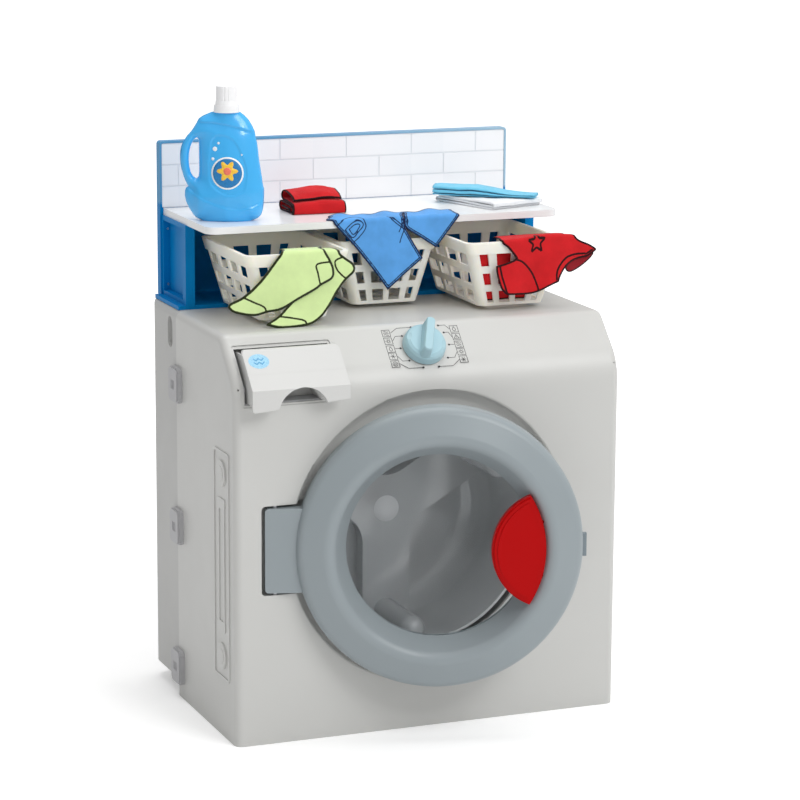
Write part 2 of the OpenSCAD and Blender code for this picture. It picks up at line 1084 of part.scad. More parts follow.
// Hutch: base with a ledge all round, standing on the flat top
base_front = 62;
hutch_screw_z = [470, 535];
module hutch_base() {
    color([0.1, 0.45, 0.8])
        difference() {
            translate([-body_w / 2 + 5, base_front, body_h])
                cube([body_w - 10, panel_y - base_front, base_t]);
            for (sx = [-1, 1])
                for (y = [base_front + 20, panel_y - 20])
                    translate([sx * (cheek_hw - cheek_t / 2), y, body_h - 1])
                        cylinder(r = 1.6, h = 10);
        }
}

// Side wall with a pocket in its outer face, edged by a flange
module hutch_side() {
    depth = panel_y - base_front;
    h = shelf_z - base_z;
    rim = 5;
    pocket = cheek_t - 3;
    translate([cheek_hw - cheek_t, base_front, base_z])
        difference() {
            cube([cheek_t, depth, h]);
            translate([cheek_t - pocket, 11, rim])
                cube([pocket + 1, depth - 11 - rim, h - 2 * rim]);
            for (z = hutch_screw_z)
                translate([cheek_t / 2, depth - rim - 1, z - base_z])
                    rotate([-90, 0, 0])
                        cylinder(r = 1.6, h = rim + 2);
        }
    // pegs that sit in the base
    translate([cheek_hw - cheek_t / 2, base_front, body_h])
        for (y = [20, depth - 20])
            translate([0, y, 0])
                cylinder(r = 1.6, h = base_t + 1);
}

module hutch_side_left() {
    color([0.12, 0.5, 0.86])
        mirror([1, 0, 0])
            hutch_side();
}

module hutch_side_right() {
    color([0.12, 0.5, 0.86])
        hutch_side();
}

// Back panel: one board with a raised rim round the tiled upper field
panel_rim = 2.5;
module hutch_back_panel() {
    h = panel_top - body_h;
    color([0.1, 0.45, 0.8])
        difference() {
            translate([0, panel_y, body_h + h / 2])
                rotate([-90, 0, 0])
                    round_block(2 * panel_hw, h, panel_t, 4);
            translate([0, panel_y - 1, (shelf_top + panel_top - panel_rim) / 2])
                rotate([-90, 0, 0])
                    round_block(2 * (panel_hw - panel_rim), panel_top - panel_rim - shelf_top, 5, 2);
            for (sx = [-1, 1])
                for (z = hutch_screw_z)
                    translate([sx * (cheek_hw - cheek_t / 2), panel_y - 1, z])
                        rotate([-90, 0, 0])
                            cylinder(r = 1.6, h = panel_t + 2);
            // stiffening pockets in the back
            for (k = [-1:1])
                translate([k * 140, panel_y + 6, (body_h + panel_top) / 2])
                    rotate([-90, 0, 0])
                        round_block(126, h - 30, 10, 6);
        }
}

// White tile board with shallow joints in running bond
tile_w = 83;
module tile_panel() {
    w = 2 * (panel_hw - panel_rim) - 0.6;
    z0 = shelf_top + 0.3;
    z1 = panel_top - panel_rim - 0.3;
    row = (z1 - z0) / 3;
    joint = 1.6;
    color([0.95, 0.95, 0.96])
        difference() {
            translate([0, panel_y + 0.6, (z0 + z1) / 2])
                rotate([-90, 0, 0])
                    round_block(w, z1 - z0, 3.3, 2);
            for (k = [1, 2])
                translate([-w, panel_y + 0.1, z0 + k * row - joint / 2])
                    cube([2 * w, 1, joint]);
            for (k = [0:2])
                for (i = [-3:3])
                    translate([(i + (k % 2) / 2) * tile_w - joint / 2 + 12, panel_y + 0.1, z0 + k * row])
                        cube([joint, 1, row]);
        }
}

module hutch_shelf() {
    depth = panel_y - shelf_front;
    r = 13;
    w = 2 * (cheek_hw - 2);
    color([0.95, 0.95, 0.96])
        translate([0, shelf_front, shelf_z])
            linear_extrude(shelf_t) {
                translate([-w / 2, r])
                    square([w, depth - r]);
                translate([-w / 2 + r, 0])
                    square([w - 2 * r, depth]);
                for (sx = [-1, 1])
                    translate([sx * (w / 2 - r), r])
                        circle(r);
            }
}

module hutch_screws() {
    color([0.7, 0.7, 0.7])
        for (sx = [-1, 1])
            for (z = hutch_screw_z)
                translate([sx * (cheek_hw - cheek_t / 2), panel_y + panel_t, z])
                    rotate([-90, 0, 0])
                        screw(1.6, panel_t + 4.5, 3.6, 1.6);
}

// Basket: tapered box with a banded rim and three rows of windows
foot_l = rim_l - 24;
rim_band = 13.8;
window_rows = [[3.9, 17.1], [24.8, 38.4], [46.8, 61.4]];
front_cols = [[-0.86, -0.65], [-0.45, -0.09], [0.09, 0.45], [0.65, 0.86]];
side_cols = [[-0.90, -0.54], [-0.43, -0.05], [0.05, 0.43], [0.54, 0.90]];

module basket_form(grow, z0, z1) {
    function at(a, b, z) = (a + (b - a) * z / basket_h) / 2 + grow;
    hull()
        for (z = [z0, z1])
            for (sx = [-1, 1])
                for (sy = [-1, 1])
                    translate([
                        sx * (at(foot_w, rim_w - 4, z) - 9),
                        sy * (at(foot_l, rim_l - 4, z) - 9),
                        z == z0 ? z0 : z1 - 0.1
                    ])
                        cylinder(r = 9, h = 0.1, $fn = 32);
}

// Window cutter: a slice of the fan of ribs, through two opposite walls
module basket_window(col, rows, low_w, high_w, reach) {
    function half(z) = (low_w + (high_w - low_w) * z / basket_h) / 2 - 6;
    translate([0, reach, 0])
        rotate([90, 0, 0])
            linear_extrude(2 * reach)
                polygon([
                    [col[0] * half(rows[0]), rows[0]],
                    [col[1] * half(rows[0]), rows[0]],
                    [col[1] * half(rows[1]), rows[1]],
                    [col[0] * half(rows[1]), rows[1]]
                ]);
}

module basket() {
    t = 2.6;
    color([0.94, 0.92, 0.84])
        difference() {
            union() {
                basket_form(0, 0, basket_h);
                basket_form(2, basket_h - rim_band, basket_h);
            }
            difference() {
                basket_form(-t, t, basket_h + 1);
                translate([0, 0, -big + t])
                    cylinder(r = big, h = big, $fn = 8);
            }
            for (rows = window_rows) {
                for (col = front_cols)
                    basket_window(col, rows, foot_w, rim_w, rim_l);
                for (col = side_cols)
                    rotate(90)
                        basket_window(col, rows, foot_l, rim_l, rim_w);
            }
            // slots in the floor
            for (i = [-2:2])
                translate([-foot_w / 2 + 14, i * 25 - 5, -1])
                    cube([foot_w - 28, 10, t + 2]);
        }
}

basket_back = panel_y - 0.5;
basket_x = [-128, 4, 136];
module place_basket(bay, out) {
    translate([basket_x[bay], basket_back - rim_l / 2 - out, base_z + gap])
        children();
}

module basket_left() {
    place_basket(0, basket_out)
        basket();
}

module basket_middle() {
    place_basket(1, 0)
        basket();
}

module basket_right() {
    place_basket(2, basket_out)
        basket();
}

// Bottle: height, middle, half width and half depth of each oval from base to neck
bottle_p = [-174.8, 38.7];
bottle_turn = -22;
cap_h = 29;
neck_z = bottle_h - cap_h;
ovals = [
    [0, 0.6, 28.9, 14], [1.5, 1, 32.5, 16.5], [4.3, 1, 36.5, 18.5], [9, 0.7, 39.7, 20], [16, -0.6, 42.4, 20.8],
    [24, -1.7, 44.2, 21], [32, -1.8, 44.6, 21], [37, -0.7, 42.8, 20.4], [42, -1.7, 43.1, 20.2],
    [54, -4.7, 44.4, 20], [68, -7, 44.5, 19.4], [83, -7.2, 43, 18.6], [93, -5.6, 39.4, 18.2],
    [103, -2.8, 34.2, 17.6], [110, -2.4, 30.2, 17], [116, -2.6, 25.9, 16], [neck_z, 0.2, 16.3, 13.5]
];
grip_hole = [
    [-42.2, 70], [-40.8, 80], [-37, 90], [-32.5, 93.5], [-30, 92], [-30, 48], [-33, 46.2], [-38, 49.7], [-41, 58.7]
];

module at_bottle() {
    translate([bottle_p.x, bottle_p.y, shelf_top])
        rotate(bottle_turn)
            children();
}

// Solid skin over a stack of flat rings that have the same number of points
module stacked(rings) {
    n = len(rings[0]);
    m = len(rings);
    side = [
        for (i = [0:m - 2])
            for (j = [0:n - 1])
                let (k = (j + 1) % n)
                each [
                    [i * n + j, (i + 1) * n + k, i * n + k],
                    [i * n + j, (i + 1) * n + j, (i + 1) * n + k]
                ]
    ];
    bottom = [for (j = [0:n - 1]) j];
    top = [for (j = [n - 1:-1:0]) (m - 1) * n + j];
    polyhedron([for (r = rings) each r], concat(side, [bottom, top]), convexity = 4);
}

function oval_ring(s, n) = [
    for (j = [0:n - 1])
        let (a = 360 * j / n, c = cos(a), w = sin(a))
        [
            s[1] + s[2] * sign(c) * pow(abs(c), 0.86),
            s[3] * sign(w) * pow(abs(w), 0.86),
            s[0]
        ]
];

module bottle() {
    color([0.15, 0.55, 0.9])
        at_bottle()
            difference() {
                union() {
                    stacked([for (s = ovals) oval_ring(s, 36)]);
                    translate([1, 0, neck_z - 1])
                        cylinder(r = 11, h = 7);
                }
                rotate([90, 0, 0])
                    translate([0, 0, -30])
                        linear_extrude(60)
                            polygon(grip_hole);
                // flat label field on the front
                translate([4, -bottle_d / 2 + 0.4, 64])
                    rotate([90, 0, 0])
                        linear_extrude(10)
                            scale([1, 1.25])
                                circle(21, $fn = 40);
            }
}

module bottle_cap() {
    color([0.96, 0.96, 0.97])
        at_bottle()
            translate([1, 0, neck_z + 0.1])
                difference() {
                    union() {
                        cylinder(r1 = 14.6, r2 = 14.2, h = 8);
                        cylinder(r1 = 14.2, r2 = 12, h = 13);
                        cylinder(r = 11.8, h = cap_h - 0.1);
                    }
                    translate([0, 0, -1])
                        cylinder(r = 11, h = 7);
                    for (k = [0:17])
                        rotate(20 * k)
                            translate([12.6, 0, 13])
                                cylinder(r = 1.3, h = cap_h);
                }
}

// Closed sheet of cloth over a grid: rows of points and a thickness along given normals
module cloth(grid, shift) {
    rows = len(grid);
    cols = len(grid[0]);
    n = rows * cols;
    points = concat(
        [for (r = grid) for (p = r) p],
        [for (i = [0:rows - 1]) for (j = [0:cols - 1]) grid[i][j] + shift[i]]
    );
    function id(i, j, k) = k * n + i * cols + j;
    faces = concat(
        [for (i = [0:rows - 2]) for (j = [0:cols - 2]) each [
            [id(i, j, 0), id(i + 1, j + 1, 0), id(i, j + 1, 0)],
            [id(i, j, 0), id(i + 1, j, 0), id(i + 1, j + 1, 0)],
            [id(i, j, 1), id(i, j + 1, 1), id(i + 1, j + 1, 1)],
            [id(i, j, 1), id(i + 1, j + 1, 1), id(i + 1, j, 1)]
        ]],
        [for (i = [0:rows - 2]) each [
            [id(i, 0, 0), id(i + 1, 0, 1), id(i + 1, 0, 0)],
            [id(i, 0, 0), id(i, 0, 1), id(i + 1, 0, 1)],
            [id(i, cols - 1, 0), id(i + 1, cols - 1, 0), id(i + 1, cols - 1, 1)],
            [id(i, cols - 1, 0), id(i + 1, cols - 1, 1), id(i, cols - 1, 1)]
        ]],
        [for (j = [0:cols - 2]) each [
            [id(0, j, 0), id(0, j + 1, 0), id(0, j + 1, 1)],
            [id(0, j, 0), id(0, j + 1, 1), id(0, j, 1)],
            [id(rows - 1, j, 0), id(rows - 1, j + 1, 1), id(rows - 1, j + 1, 0)],
            [id(rows - 1, j, 0), id(rows - 1, j, 1), id(rows - 1, j + 1, 1)]
        ]]
    );
    polyhedron(points, faces, convexity = 6);
}

// Side view of a cloth over an edge: s runs from its hidden end, the edge comes after `lap`
drape_r = 0.9;
bend = drape_r * PI / 2;
function turn(s, lap) = 90 * min(max((s - lap) / bend, 0), 1);
function over(lap) = [lap, lap + bend / 2, lap + bend];
function draped(s, lap, edge_y, top_z, sink = 0) =
    let (a = turn(s, lap), flat = max(lap - s, 0), drop = max(s - lap - bend, 0))
    [
        edge_y + drape_r - drape_r * sin(a) + flat,
        top_z - drape_r + drape_r * cos(a) - sink * max(flat - 6, 0) - drop
    ];
function outward(s, lap) = cloth_t * [0, -sin(turn(s, lap)), cos(turn(s, lap))];

// Folds: waves across the cloth that grow with the length that hangs free
function fold(s, x, lap, depth, pitch) =
    let (free = max(s - lap, 0) / 80)
    depth * min(free, 1) * (1 + sin(360 * x / pitch + 40 * free));

// Cloth between two edge lines, each a list of [s, x] pairs, hung over an edge
module hung(left, right, rows, cols, lap, edge_y, top_z, sink, depth, pitch, swing = [0, 0]) {
    cloth(
        [for (s = rows) [
            for (j = [0:cols])
                let (
                    x = lookup(s, left) + (lookup(s, right) - lookup(s, left)) * j / cols,
                    p = draped(s, lap, edge_y, top_z, sink),
                    reach = fold(s, x, lap, depth, pitch)
                        + swing[1] * pow(max(s - swing[0], 0) / 30, 1.4)
                )
                [x - 0.4 * reach, p[0] - reach, p[1] + 0.22 * reach]
        ]],
        [for (s = rows) outward(s, lap)]
    );
}

basket_top = base_z + gap + basket_h;
left_edge_y = basket_back - rim_l - basket_out - gap;
rim_rest = basket_top + gap;

// Two socks over the front rim of the left basket, one across the other
sock_lap = 33.8;
module socks() {
    color([0.7, 0.88, 0.55]) {
        hung(
            [[0, -136], [32, -149], [50, -161], [70, -180], [84, -199], [90, -209], [95, -208], [101, -192]],
            [[0, -92], [32, -103], [44, -91], [55, -87], [65, -91], [78, -112], [90, -142], [101, -176]],
            concat([0, 14, 27], over(sock_lap), [39, 44, 50, 57, 64, 71, 78, 84, 90, 95, 98, 101]),
            8, sock_lap, left_edge_y - 2.6, rim_rest + 2.2, 0.1, 1.6, 70
        );
        hung(
            [[0, -108], [32, -118], [55, -112], [75, -122], [90, -138], [102, -160], [106, -164], [111, -158]],
            [[0, -78], [32, -90], [44, -72], [51, -65], [59, -64], [72, -78], [90, -92], [104, -106], [111, -126]],
            concat([0, 14, 27], over(sock_lap), [39, 44, 51, 59, 66, 74, 82, 90, 97, 102, 106, 109, 111]),
            8, sock_lap, left_edge_y, rim_rest, 0.1, 0.3, 70, [74, 7]
        );
    }
}

// Trousers laid over the front edge of the shelf, two legs hanging before the middle basket
module blue_trousers() {
    lap = 27.8;
    edge = shelf_front - gap;
    color([0.25, 0.5, 0.85]) {
        hung(
            [[0, -54], [26, -72], [34, -66], [111, 1]],
            [[0, 30], [26, 20], [42, 22], [76, 44], [111, 5]],
            concat([0, 9, 18], over(lap), [33, 42, 51, 60, 68, 76, 85, 94, 103, 111]),
            9, lap, edge, shelf_top + gap, 0, 2.2, 74
        );
        hung(
            [[0, 31], [26, 21], [42, 23], [66, 58]],
            [[0, 84], [26, 90], [30, 93], [66, 61]],
            concat([0, 9, 18], over(lap), [33, 42, 50, 58, 66]),
            7, lap, edge, shelf_top + gap, 0, 2.2, 74
        );
    }
}

// Shirt over the front rim of the right basket, sleeves to both sides
module red_shirt() {
    lap = 31.8;
    color([0.8, 0.12, 0.12])
        hung(
            [[0, 124], [30, 113], [46, 129], [53, 135], [56, 122], [60, 108], [76, 111], [95, 122]],
            [[0, 196], [30, 204], [46, 232], [57, 220], [68, 200], [82, 186], [88, 174], [95, 146]],
            concat([0, 10, 20], over(lap), [37, 42, 47, 51, 54, 57, 61, 68, 75, 82, 88, 92, 95]),
            12, lap, left_edge_y, rim_rest, 0, 3, 58
        );
}

// The other half of the shirt, hanging inside the same basket against its front
module shirt_tail() {
    function wall_y(z) =
        basket_back - rim_l / 2 - basket_out - (foot_l + (rim_l - 4 - foot_l) * z / basket_h) / 2;
    function half(z) = (foot_w + (rim_w - 4 - foot_w) * z / basket_h) / 2 - 9.5;
    color([0.75, 0.1, 0.1])
        cloth(
            [for (z = [basket_h - 3:-7:6]) [
                for (j = [0:7])
                    let (x = basket_x[2] - half(z) + 54 * j / 7)
                    [x, wall_y(z) + 3.2 + (1 + sin(9 * x)), base_z + gap + z]
            ]],
            [for (z = [basket_h - 3:-7:6]) [0, cloth_t, 0]]
        );
}

// Stack of folded layers in one skin; each layer: width, depth, height, turn, [x, y, z], wave
module folded(layers) {
    function ring(l, a) =
        let (
            inset = l[2] / 2 * (1 - sin(a)),
            up = l[2] / 2 * (1 - cos(a))
        )
        [
            for (j = [0:31])
                let (
                    c = cos(11.25 * j),
                    s = sin(11.25 * j),
                    x = (l[0] / 2 - inset) * sign(c) * pow(abs(c), 0.3),
                    y = (l[1] / 2 - inset) * sign(s) * pow(abs(s), 0.3),
                    ripple = l[5] * (1 - cos(a)) / 2 * sin(300 * x / l[0] + 200 * y / l[1])
                )
                l[4] + [
                    x * cos(l[3]) - y * sin(l[3]),
                    x * sin(l[3]) + y * cos(l[3]),
                    up + ripple
                ]
        ];
    stacked([for (l = layers) for (a = [18:24:162]) ring(l, a)]);
}

module folded_red_cloth() {
    color([0.8, 0.1, 0.1])
        translate([-58, 72, shelf_top])
            folded([
                [66, 46, 14, -6, [1, -2, -0.2], 0.6],
                [60, 42, 9, 4, [-3, 2, 14], 0.8],
                [46, 32, 6, -10, [-6, 4, 23.8], 0.6]
            ]);
}

white_p = [159, 64];
module folded_white_cloth() {
    color([0.95, 0.95, 0.95])
        translate([white_p.x, white_p.y, shelf_top])
            folded([
                [76, 104, 4.6, 18, [0, 0, 0], 0.1],
                [73, 100, 4.6, 17, [1, 1, 4.7], 0.2]
            ]);
}

module folded_blue_cloth() {
    color([0.2, 0.6, 0.8])
        translate([white_p.x - 6, white_p.y - 2, shelf_top + 9.7])
            folded([
                [124, 38, 5, -33, [0, 0, 0], 0.2],
                [76, 30, 4.6, -32, [-22, 15, 5.2], 0.3]
            ]);
}

front_housing();
rear_housing();
case_clips();
corner_pads();
drum_tub();
tub_screws();
drum_axle();
axle_washer();
axle_clip();
drum();
drum_bush();
drum_hub_cap();
door_ring();
door_window();
window_retainer();
retainer_screws();
door_handle();
door_catch();
catch_strike();
hinge_pin();
knob();
knob_shaft();
knob_bezel();
knob_washer();
drawer_sleeve();
drawer_tray();
drawer_front();
hutch_base();
hutch_side_left();
hutch_side_right();
hutch_back_panel();
tile_panel();
hutch_shelf();
hutch_screws();
basket_left();
basket_middle();
basket_right();
bottle();
bottle_cap();
socks();
blue_trousers();
red_shirt();
shirt_tail();
folded_red_cloth();
folded_white_cloth();
folded_blue_cloth();
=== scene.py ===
"""Toy washing machine with hutch, baskets, bottle and play clothes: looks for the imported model."""
import math

import bpy
import numpy as np
from mathutils import Matrix, Vector, geometry, noise


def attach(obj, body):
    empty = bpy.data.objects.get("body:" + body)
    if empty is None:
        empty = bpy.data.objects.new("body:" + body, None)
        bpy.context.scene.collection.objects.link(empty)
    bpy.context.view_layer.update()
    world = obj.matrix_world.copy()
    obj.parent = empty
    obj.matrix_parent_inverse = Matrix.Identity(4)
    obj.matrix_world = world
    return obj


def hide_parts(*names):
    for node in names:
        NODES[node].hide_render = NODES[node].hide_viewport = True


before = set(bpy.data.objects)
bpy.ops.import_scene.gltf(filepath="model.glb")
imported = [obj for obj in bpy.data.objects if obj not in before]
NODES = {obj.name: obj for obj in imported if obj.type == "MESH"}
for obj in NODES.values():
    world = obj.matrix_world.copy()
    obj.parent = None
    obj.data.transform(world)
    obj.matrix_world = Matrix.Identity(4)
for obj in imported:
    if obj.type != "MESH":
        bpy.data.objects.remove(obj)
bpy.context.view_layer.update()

SCENE = bpy.context.scene
MM = 0.001

# ---------------------------------------------------------------- dimensions of the source, in mm
SHELF_TOP = 558.5
SHELF_FRONT = -13.0
BASKET_BACK = 149.5
BASKET_LEN = 160.0
BASKET_OUT = 59.0
BASKET_H = 75.0
BASE_Z = 458.5
GAP = 0.3
CREASE_Y = -99.5
BODY_H = 454.0
RIM_EDGE_Y = BASKET_BACK - BASKET_LEN - BASKET_OUT - GAP
RIM_REST = BASE_Z + BASKET_H + 2 * GAP
CLOTH_T = 1.6


# ---------------------------------------------------------------- node helpers
def new_material(name):
    mat = bpy.data.materials.new(name)
    mat.use_nodes = True
    tree = mat.node_tree
    return mat, tree, tree.nodes["Principled BSDF"]


def add(tree, kind, **sockets):
    node = tree.nodes.new(kind)
    for key, value in sockets.items():
        if hasattr(value, "is_output"):
            tree.links.new(value, node.inputs[key.replace("_", " ")])
        else:
            node.inputs[key.replace("_", " ")].default_value = value
    return node


def maths(tree, operation, a, b=None, clamp=False):
    node = tree.nodes.new("ShaderNodeMath")
    node.operation = operation
    node.use_clamp = clamp
    for socket, value in ((0, a), (1, b)):
        if value is None:
            continue
        if hasattr(value, "is_output"):
            tree.links.new(value, node.inputs[socket])
        else:
            node.inputs[socket].default_value = value
    return node.outputs[0]


def noise_at(tree, scale, detail=2.0, coords="Object"):
    place = tree.nodes.new("ShaderNodeTexCoord")
    node = add(tree, "ShaderNodeTexNoise", Scale=scale, Detail=detail, Roughness=0.55)
    tree.links.new(place.outputs[coords], node.inputs["Vector"])
    return node.outputs["Fac"]


def ranged(tree, value, low, high, from_low=0.3, from_high=0.7):
    node = add(
        tree,
        "ShaderNodeMapRange",
        Value=value,
        From_Min=from_low,
        From_Max=from_high,
        To_Min=low,
        To_Max=high,
    )
    return node.outputs["Result"]


def mixed(tree, factor, a, b):
    node = tree.nodes.new("ShaderNodeMix")
    node.data_type = "RGBA"
    for socket, value in ((0, factor), (6, a), (7, b)):
        if hasattr(value, "is_output"):
            tree.links.new(value, node.inputs[socket])
        else:
            node.inputs[socket].default_value = value if socket == 0 else (*value[:3], 1)
    return node.outputs[2]


def shade(color, k):
    return tuple(min(c * k, 1.0) for c in color[:3])


def srgb(text):
    values = [int(text[i : i + 2], 16) / 255 for i in (0, 2, 4)]
    return tuple(v / 12.92 if v <= 0.04045 else ((v + 0.055) / 1.055) ** 2.4 for v in values)


def moulded(name, color, rough, grain=0.0, cell=0.003, mottle=0.02, coat=0.0, swirl=0.0, specular=0.5):
    """Moulded plastic: faint flow marks in the colour, uneven gloss, fine grain."""
    mat, tree, bsdf = new_material(name)
    broad = noise_at(tree, 9.0, 3.0)
    fine = noise_at(tree, 1.0 / cell, 1.0)
    smear = noise_at(tree, 28.0, 3.0)
    base = mixed(
        tree, ranged(tree, broad, 0.0, 1.0), shade(color, 1 - mottle), shade(color, 1 + mottle)
    )
    tree.links.new(base, bsdf.inputs["Base Color"])
    tree.links.new(ranged(tree, smear, rough * 0.9, rough * 1.1), bsdf.inputs["Roughness"])
    bsdf.inputs["Specular IOR Level"].default_value = specular
    if coat:
        bsdf.inputs["Coat Weight"].default_value = coat
        bsdf.inputs["Coat Roughness"].default_value = 0.12
    height = maths(tree, "MULTIPLY", fine, grain)
    if swirl:
        height = maths(tree, "ADD", height, maths(tree, "MULTIPLY", broad, swirl))
    bump = add(tree, "ShaderNodeBump", Height=height, Strength=0.25, Distance=0.0002)
    tree.links.new(bump.outputs[0], bsdf.inputs["Normal"])
    return mat


def metal(name, color, rough):
    mat, tree, bsdf = new_material(name)
    bsdf.inputs["Metallic"].default_value = 1.0
    place = tree.nodes.new("ShaderNodeTexCoord")
    stretch = add(tree, "ShaderNodeMapping", Scale=(2600.0, 60.0, 2600.0))
    tree.links.new(place.outputs["Object"], stretch.inputs["Vector"])
    lines = add(tree, "ShaderNodeTexNoise", Scale=1.0, Detail=3.0)
    tree.links.new(stretch.outputs[0], lines.inputs["Vector"])
    tree.links.new(
        mixed(tree, ranged(tree, noise_at(tree, 40.0), 0.0, 1.0), shade(color, 0.88), shade(color, 1.06)),
        bsdf.inputs["Base Color"],
    )
    tree.links.new(ranged(tree, lines.outputs["Fac"], rough * 0.8, rough * 1.25), bsdf.inputs["Roughness"])
    bump = add(tree, "ShaderNodeBump", Height=lines.outputs["Fac"], Strength=0.15, Distance=0.0001)
    tree.links.new(bump.outputs[0], bsdf.inputs["Normal"])
    return mat


def clear_window(name):
    mat, tree, bsdf = new_material(name)
    bsdf.inputs["Base Color"].default_value = (0.95, 0.97, 0.98, 1)
    bsdf.inputs["Transmission Weight"].default_value = 1.0
    bsdf.inputs["IOR"].default_value = 1.06
    bsdf.inputs["Specular IOR Level"].default_value = 0.5
    bsdf.inputs["Coat Weight"].default_value = 0.18
    bsdf.inputs["Coat Roughness"].default_value = 0.03
    tree.links.new(ranged(tree, noise_at(tree, 30.0, 4.0), 0.015, 0.05), bsdf.inputs["Roughness"])
    bump = add(tree, "ShaderNodeBump", Height=noise_at(tree, 8.0, 2.0), Strength=0.12, Distance=0.002)
    tree.links.new(bump.outputs[0], bsdf.inputs["Normal"])
    return mat


def cloth_material(name, color, ink=(0.012, 0.012, 0.018), thread=0.00045, fuzz=0.5, tone=0.05):
    """Printed cloth: plain weave from the flat coordinates, fibres, uneven tone and inked outlines."""
    mat, tree, bsdf = new_material(name)
    flat = tree.nodes.new("ShaderNodeUVMap")
    flat.uv_map = "flat"
    parts = add(tree, "ShaderNodeSeparateXYZ", Vector=flat.outputs[0])
    waves = []
    for axis, phase in ((0, 0.0), (1, 1.57)):
        turns = maths(tree, "MULTIPLY", parts.outputs[axis], math.pi / thread)
        waves.append(maths(tree, "SINE", maths(tree, "ADD", turns, phase)))
    weave = maths(tree, "MULTIPLY", waves[0], waves[1])
    fibre = noise_at(tree, 1900.0, 3.0)
    blotch = noise_at(tree, 60.0, 3.0)
    base = mixed(tree, ranged(tree, blotch, 0.0, 1.0), shade(color, 1 - tone), shade(color, 1 + tone))
    base = mixed(tree, ranged(tree, weave, 0.0, 0.22, -1.0, 1.0), base, shade(color, 0.72))
    lines = tree.nodes.new("ShaderNodeAttribute")
    lines.attribute_name = "ink"
    uneven = maths(tree, "ADD", lines.outputs["Fac"], ranged(tree, noise_at(tree, 500.0), -0.15, 0.15))
    marked = ranged(tree, uneven, 1.0, 0.0, -0.2, 0.2)
    tree.links.new(mixed(tree, marked, base, ink), bsdf.inputs["Base Color"])
    tree.links.new(ranged(tree, fibre, 0.78, 0.95), bsdf.inputs["Roughness"])
    bsdf.inputs["Sheen Weight"].default_value = fuzz * 0.5
    bsdf.inputs["Sheen Roughness"].default_value = 0.5
    bsdf.inputs["Specular IOR Level"].default_value = 0.2
    height = maths(tree, "ADD", maths(tree, "MULTIPLY", weave, 0.5), fibre)
    bump = add(tree, "ShaderNodeBump", Height=height, Strength=0.45, Distance=0.00025)
    tree.links.new(bump.outputs[0], bsdf.inputs["Normal"])
    return mat


def dress(mat, *names):
    for name in names:
        data = NODES[name].data
        data.materials.clear()
        data.materials.append(mat)


# ---------------------------------------------------------------- materials of the CAD pieces
BODY = srgb("C9C9C6")
dress(moulded("body_front", BODY, 0.36, grain=0.08, mottle=0.012), "front_housing")
dress(moulded("body_rear", srgb("BFBFBD"), 0.5, grain=0.5, cell=0.0022, mottle=0.012), "rear_housing")
dress(moulded("clip_plastic", srgb("B6B6B8"), 0.48, grain=0.5), "case_clips")
dress(moulded("pad_rubber", (0.05, 0.05, 0.05), 0.7, grain=1.2), "corner_pads")
dress(moulded("tub_plastic", srgb("8E9091"), 0.45, grain=0.6), "drum_tub")
dress(metal("zinc_screw", (0.55, 0.55, 0.57), 0.35), "tub_screws", "retainer_screws", "hutch_screws")
dress(metal("plain_steel", (0.5, 0.5, 0.52), 0.3), "drum_axle", "axle_washer", "axle_clip", "hinge_pin", "knob_washer")
dress(moulded("drum_plastic", srgb("BCBEBF"), 0.14, grain=0.0, mottle=0.02, swirl=0.15, coat=0.8), "drum")
dress(moulded("bush_plastic", srgb("E9E9E4"), 0.4, grain=0.3), "drum_bush", "knob_shaft")
dress(moulded("hub_plastic", srgb("DCDDDE"), 0.42, grain=0.3), "drum_hub_cap")
RING = srgb("929B9F")
dress(moulded("ring_plastic", RING, 0.36, grain=0.05, mottle=0.012), "door_ring", "window_retainer")
dress(clear_window("clear_plastic"), "door_window")
dress(moulded("handle_plastic", (0.45, 0.0003, 0.001), 0.34, grain=0.05, mottle=0.03, specular=0.1), "door_handle")
dress(moulded("catch_plastic", srgb("7E898F"), 0.45, grain=0.5), "door_catch", "catch_strike")
dress(moulded("knob_plastic", srgb("A6C8D2"), 0.34, grain=0.1, mottle=0.02), "knob")
dress(moulded("bezel_plastic", BODY, 0.36, grain=0.2), "knob_bezel")
dress(moulded("sleeve_plastic", srgb("B9BABC"), 0.45, grain=0.4), "drawer_sleeve")
dress(moulded("drawer_plastic", srgb("D0D0CE"), 0.34, grain=0.12, mottle=0.01), "drawer_front", "drawer_tray")
HUTCH_BLUE = (0.0006, 0.205, 0.53)
dress(moulded("hutch_plastic", HUTCH_BLUE, 0.34, grain=0.15, mottle=0.03, specular=0.07), "hutch_base", "hutch_side_left", "hutch_side_right")


def panel_material():
    """Blue board whose front rim above the shelf carries a painted highlight: paler blue, palest towards the right."""
    mat = moulded("panel_plastic", HUTCH_BLUE, 0.34, grain=0.15, mottle=0.03, specular=0.07)
    tree = mat.node_tree
    bsdf = next(node for node in tree.nodes if node.type == "BSDF_PRINCIPLED")
    blue = bsdf.inputs["Base Color"].links[0].from_socket
    place = tree.nodes.new("ShaderNodeTexCoord")
    parts = add(tree, "ShaderNodeSeparateXYZ", Vector=place.outputs["Object"])
    # painted highlight: the front rim above the shelf is mixed towards a paler blue, palest towards the right
    high = ranged(tree, parts.outputs["Z"], 0.0, 1.0, 0.562, 0.566)
    front = ranged(tree, parts.outputs["Y"], 1.0, 0.0, 0.1590, 0.1605)
    rim = maths(tree, "MULTIPLY", high, front)
    right = ranged(tree, parts.outputs["X"], 0.0, 1.0, -0.1, 0.23)
    highlight_blue = mixed(tree, right, srgb("5F9CC6"), srgb("A3C2D6"))
    tree.links.new(mixed(tree, rim, blue, highlight_blue), bsdf.inputs["Base Color"])
    return mat


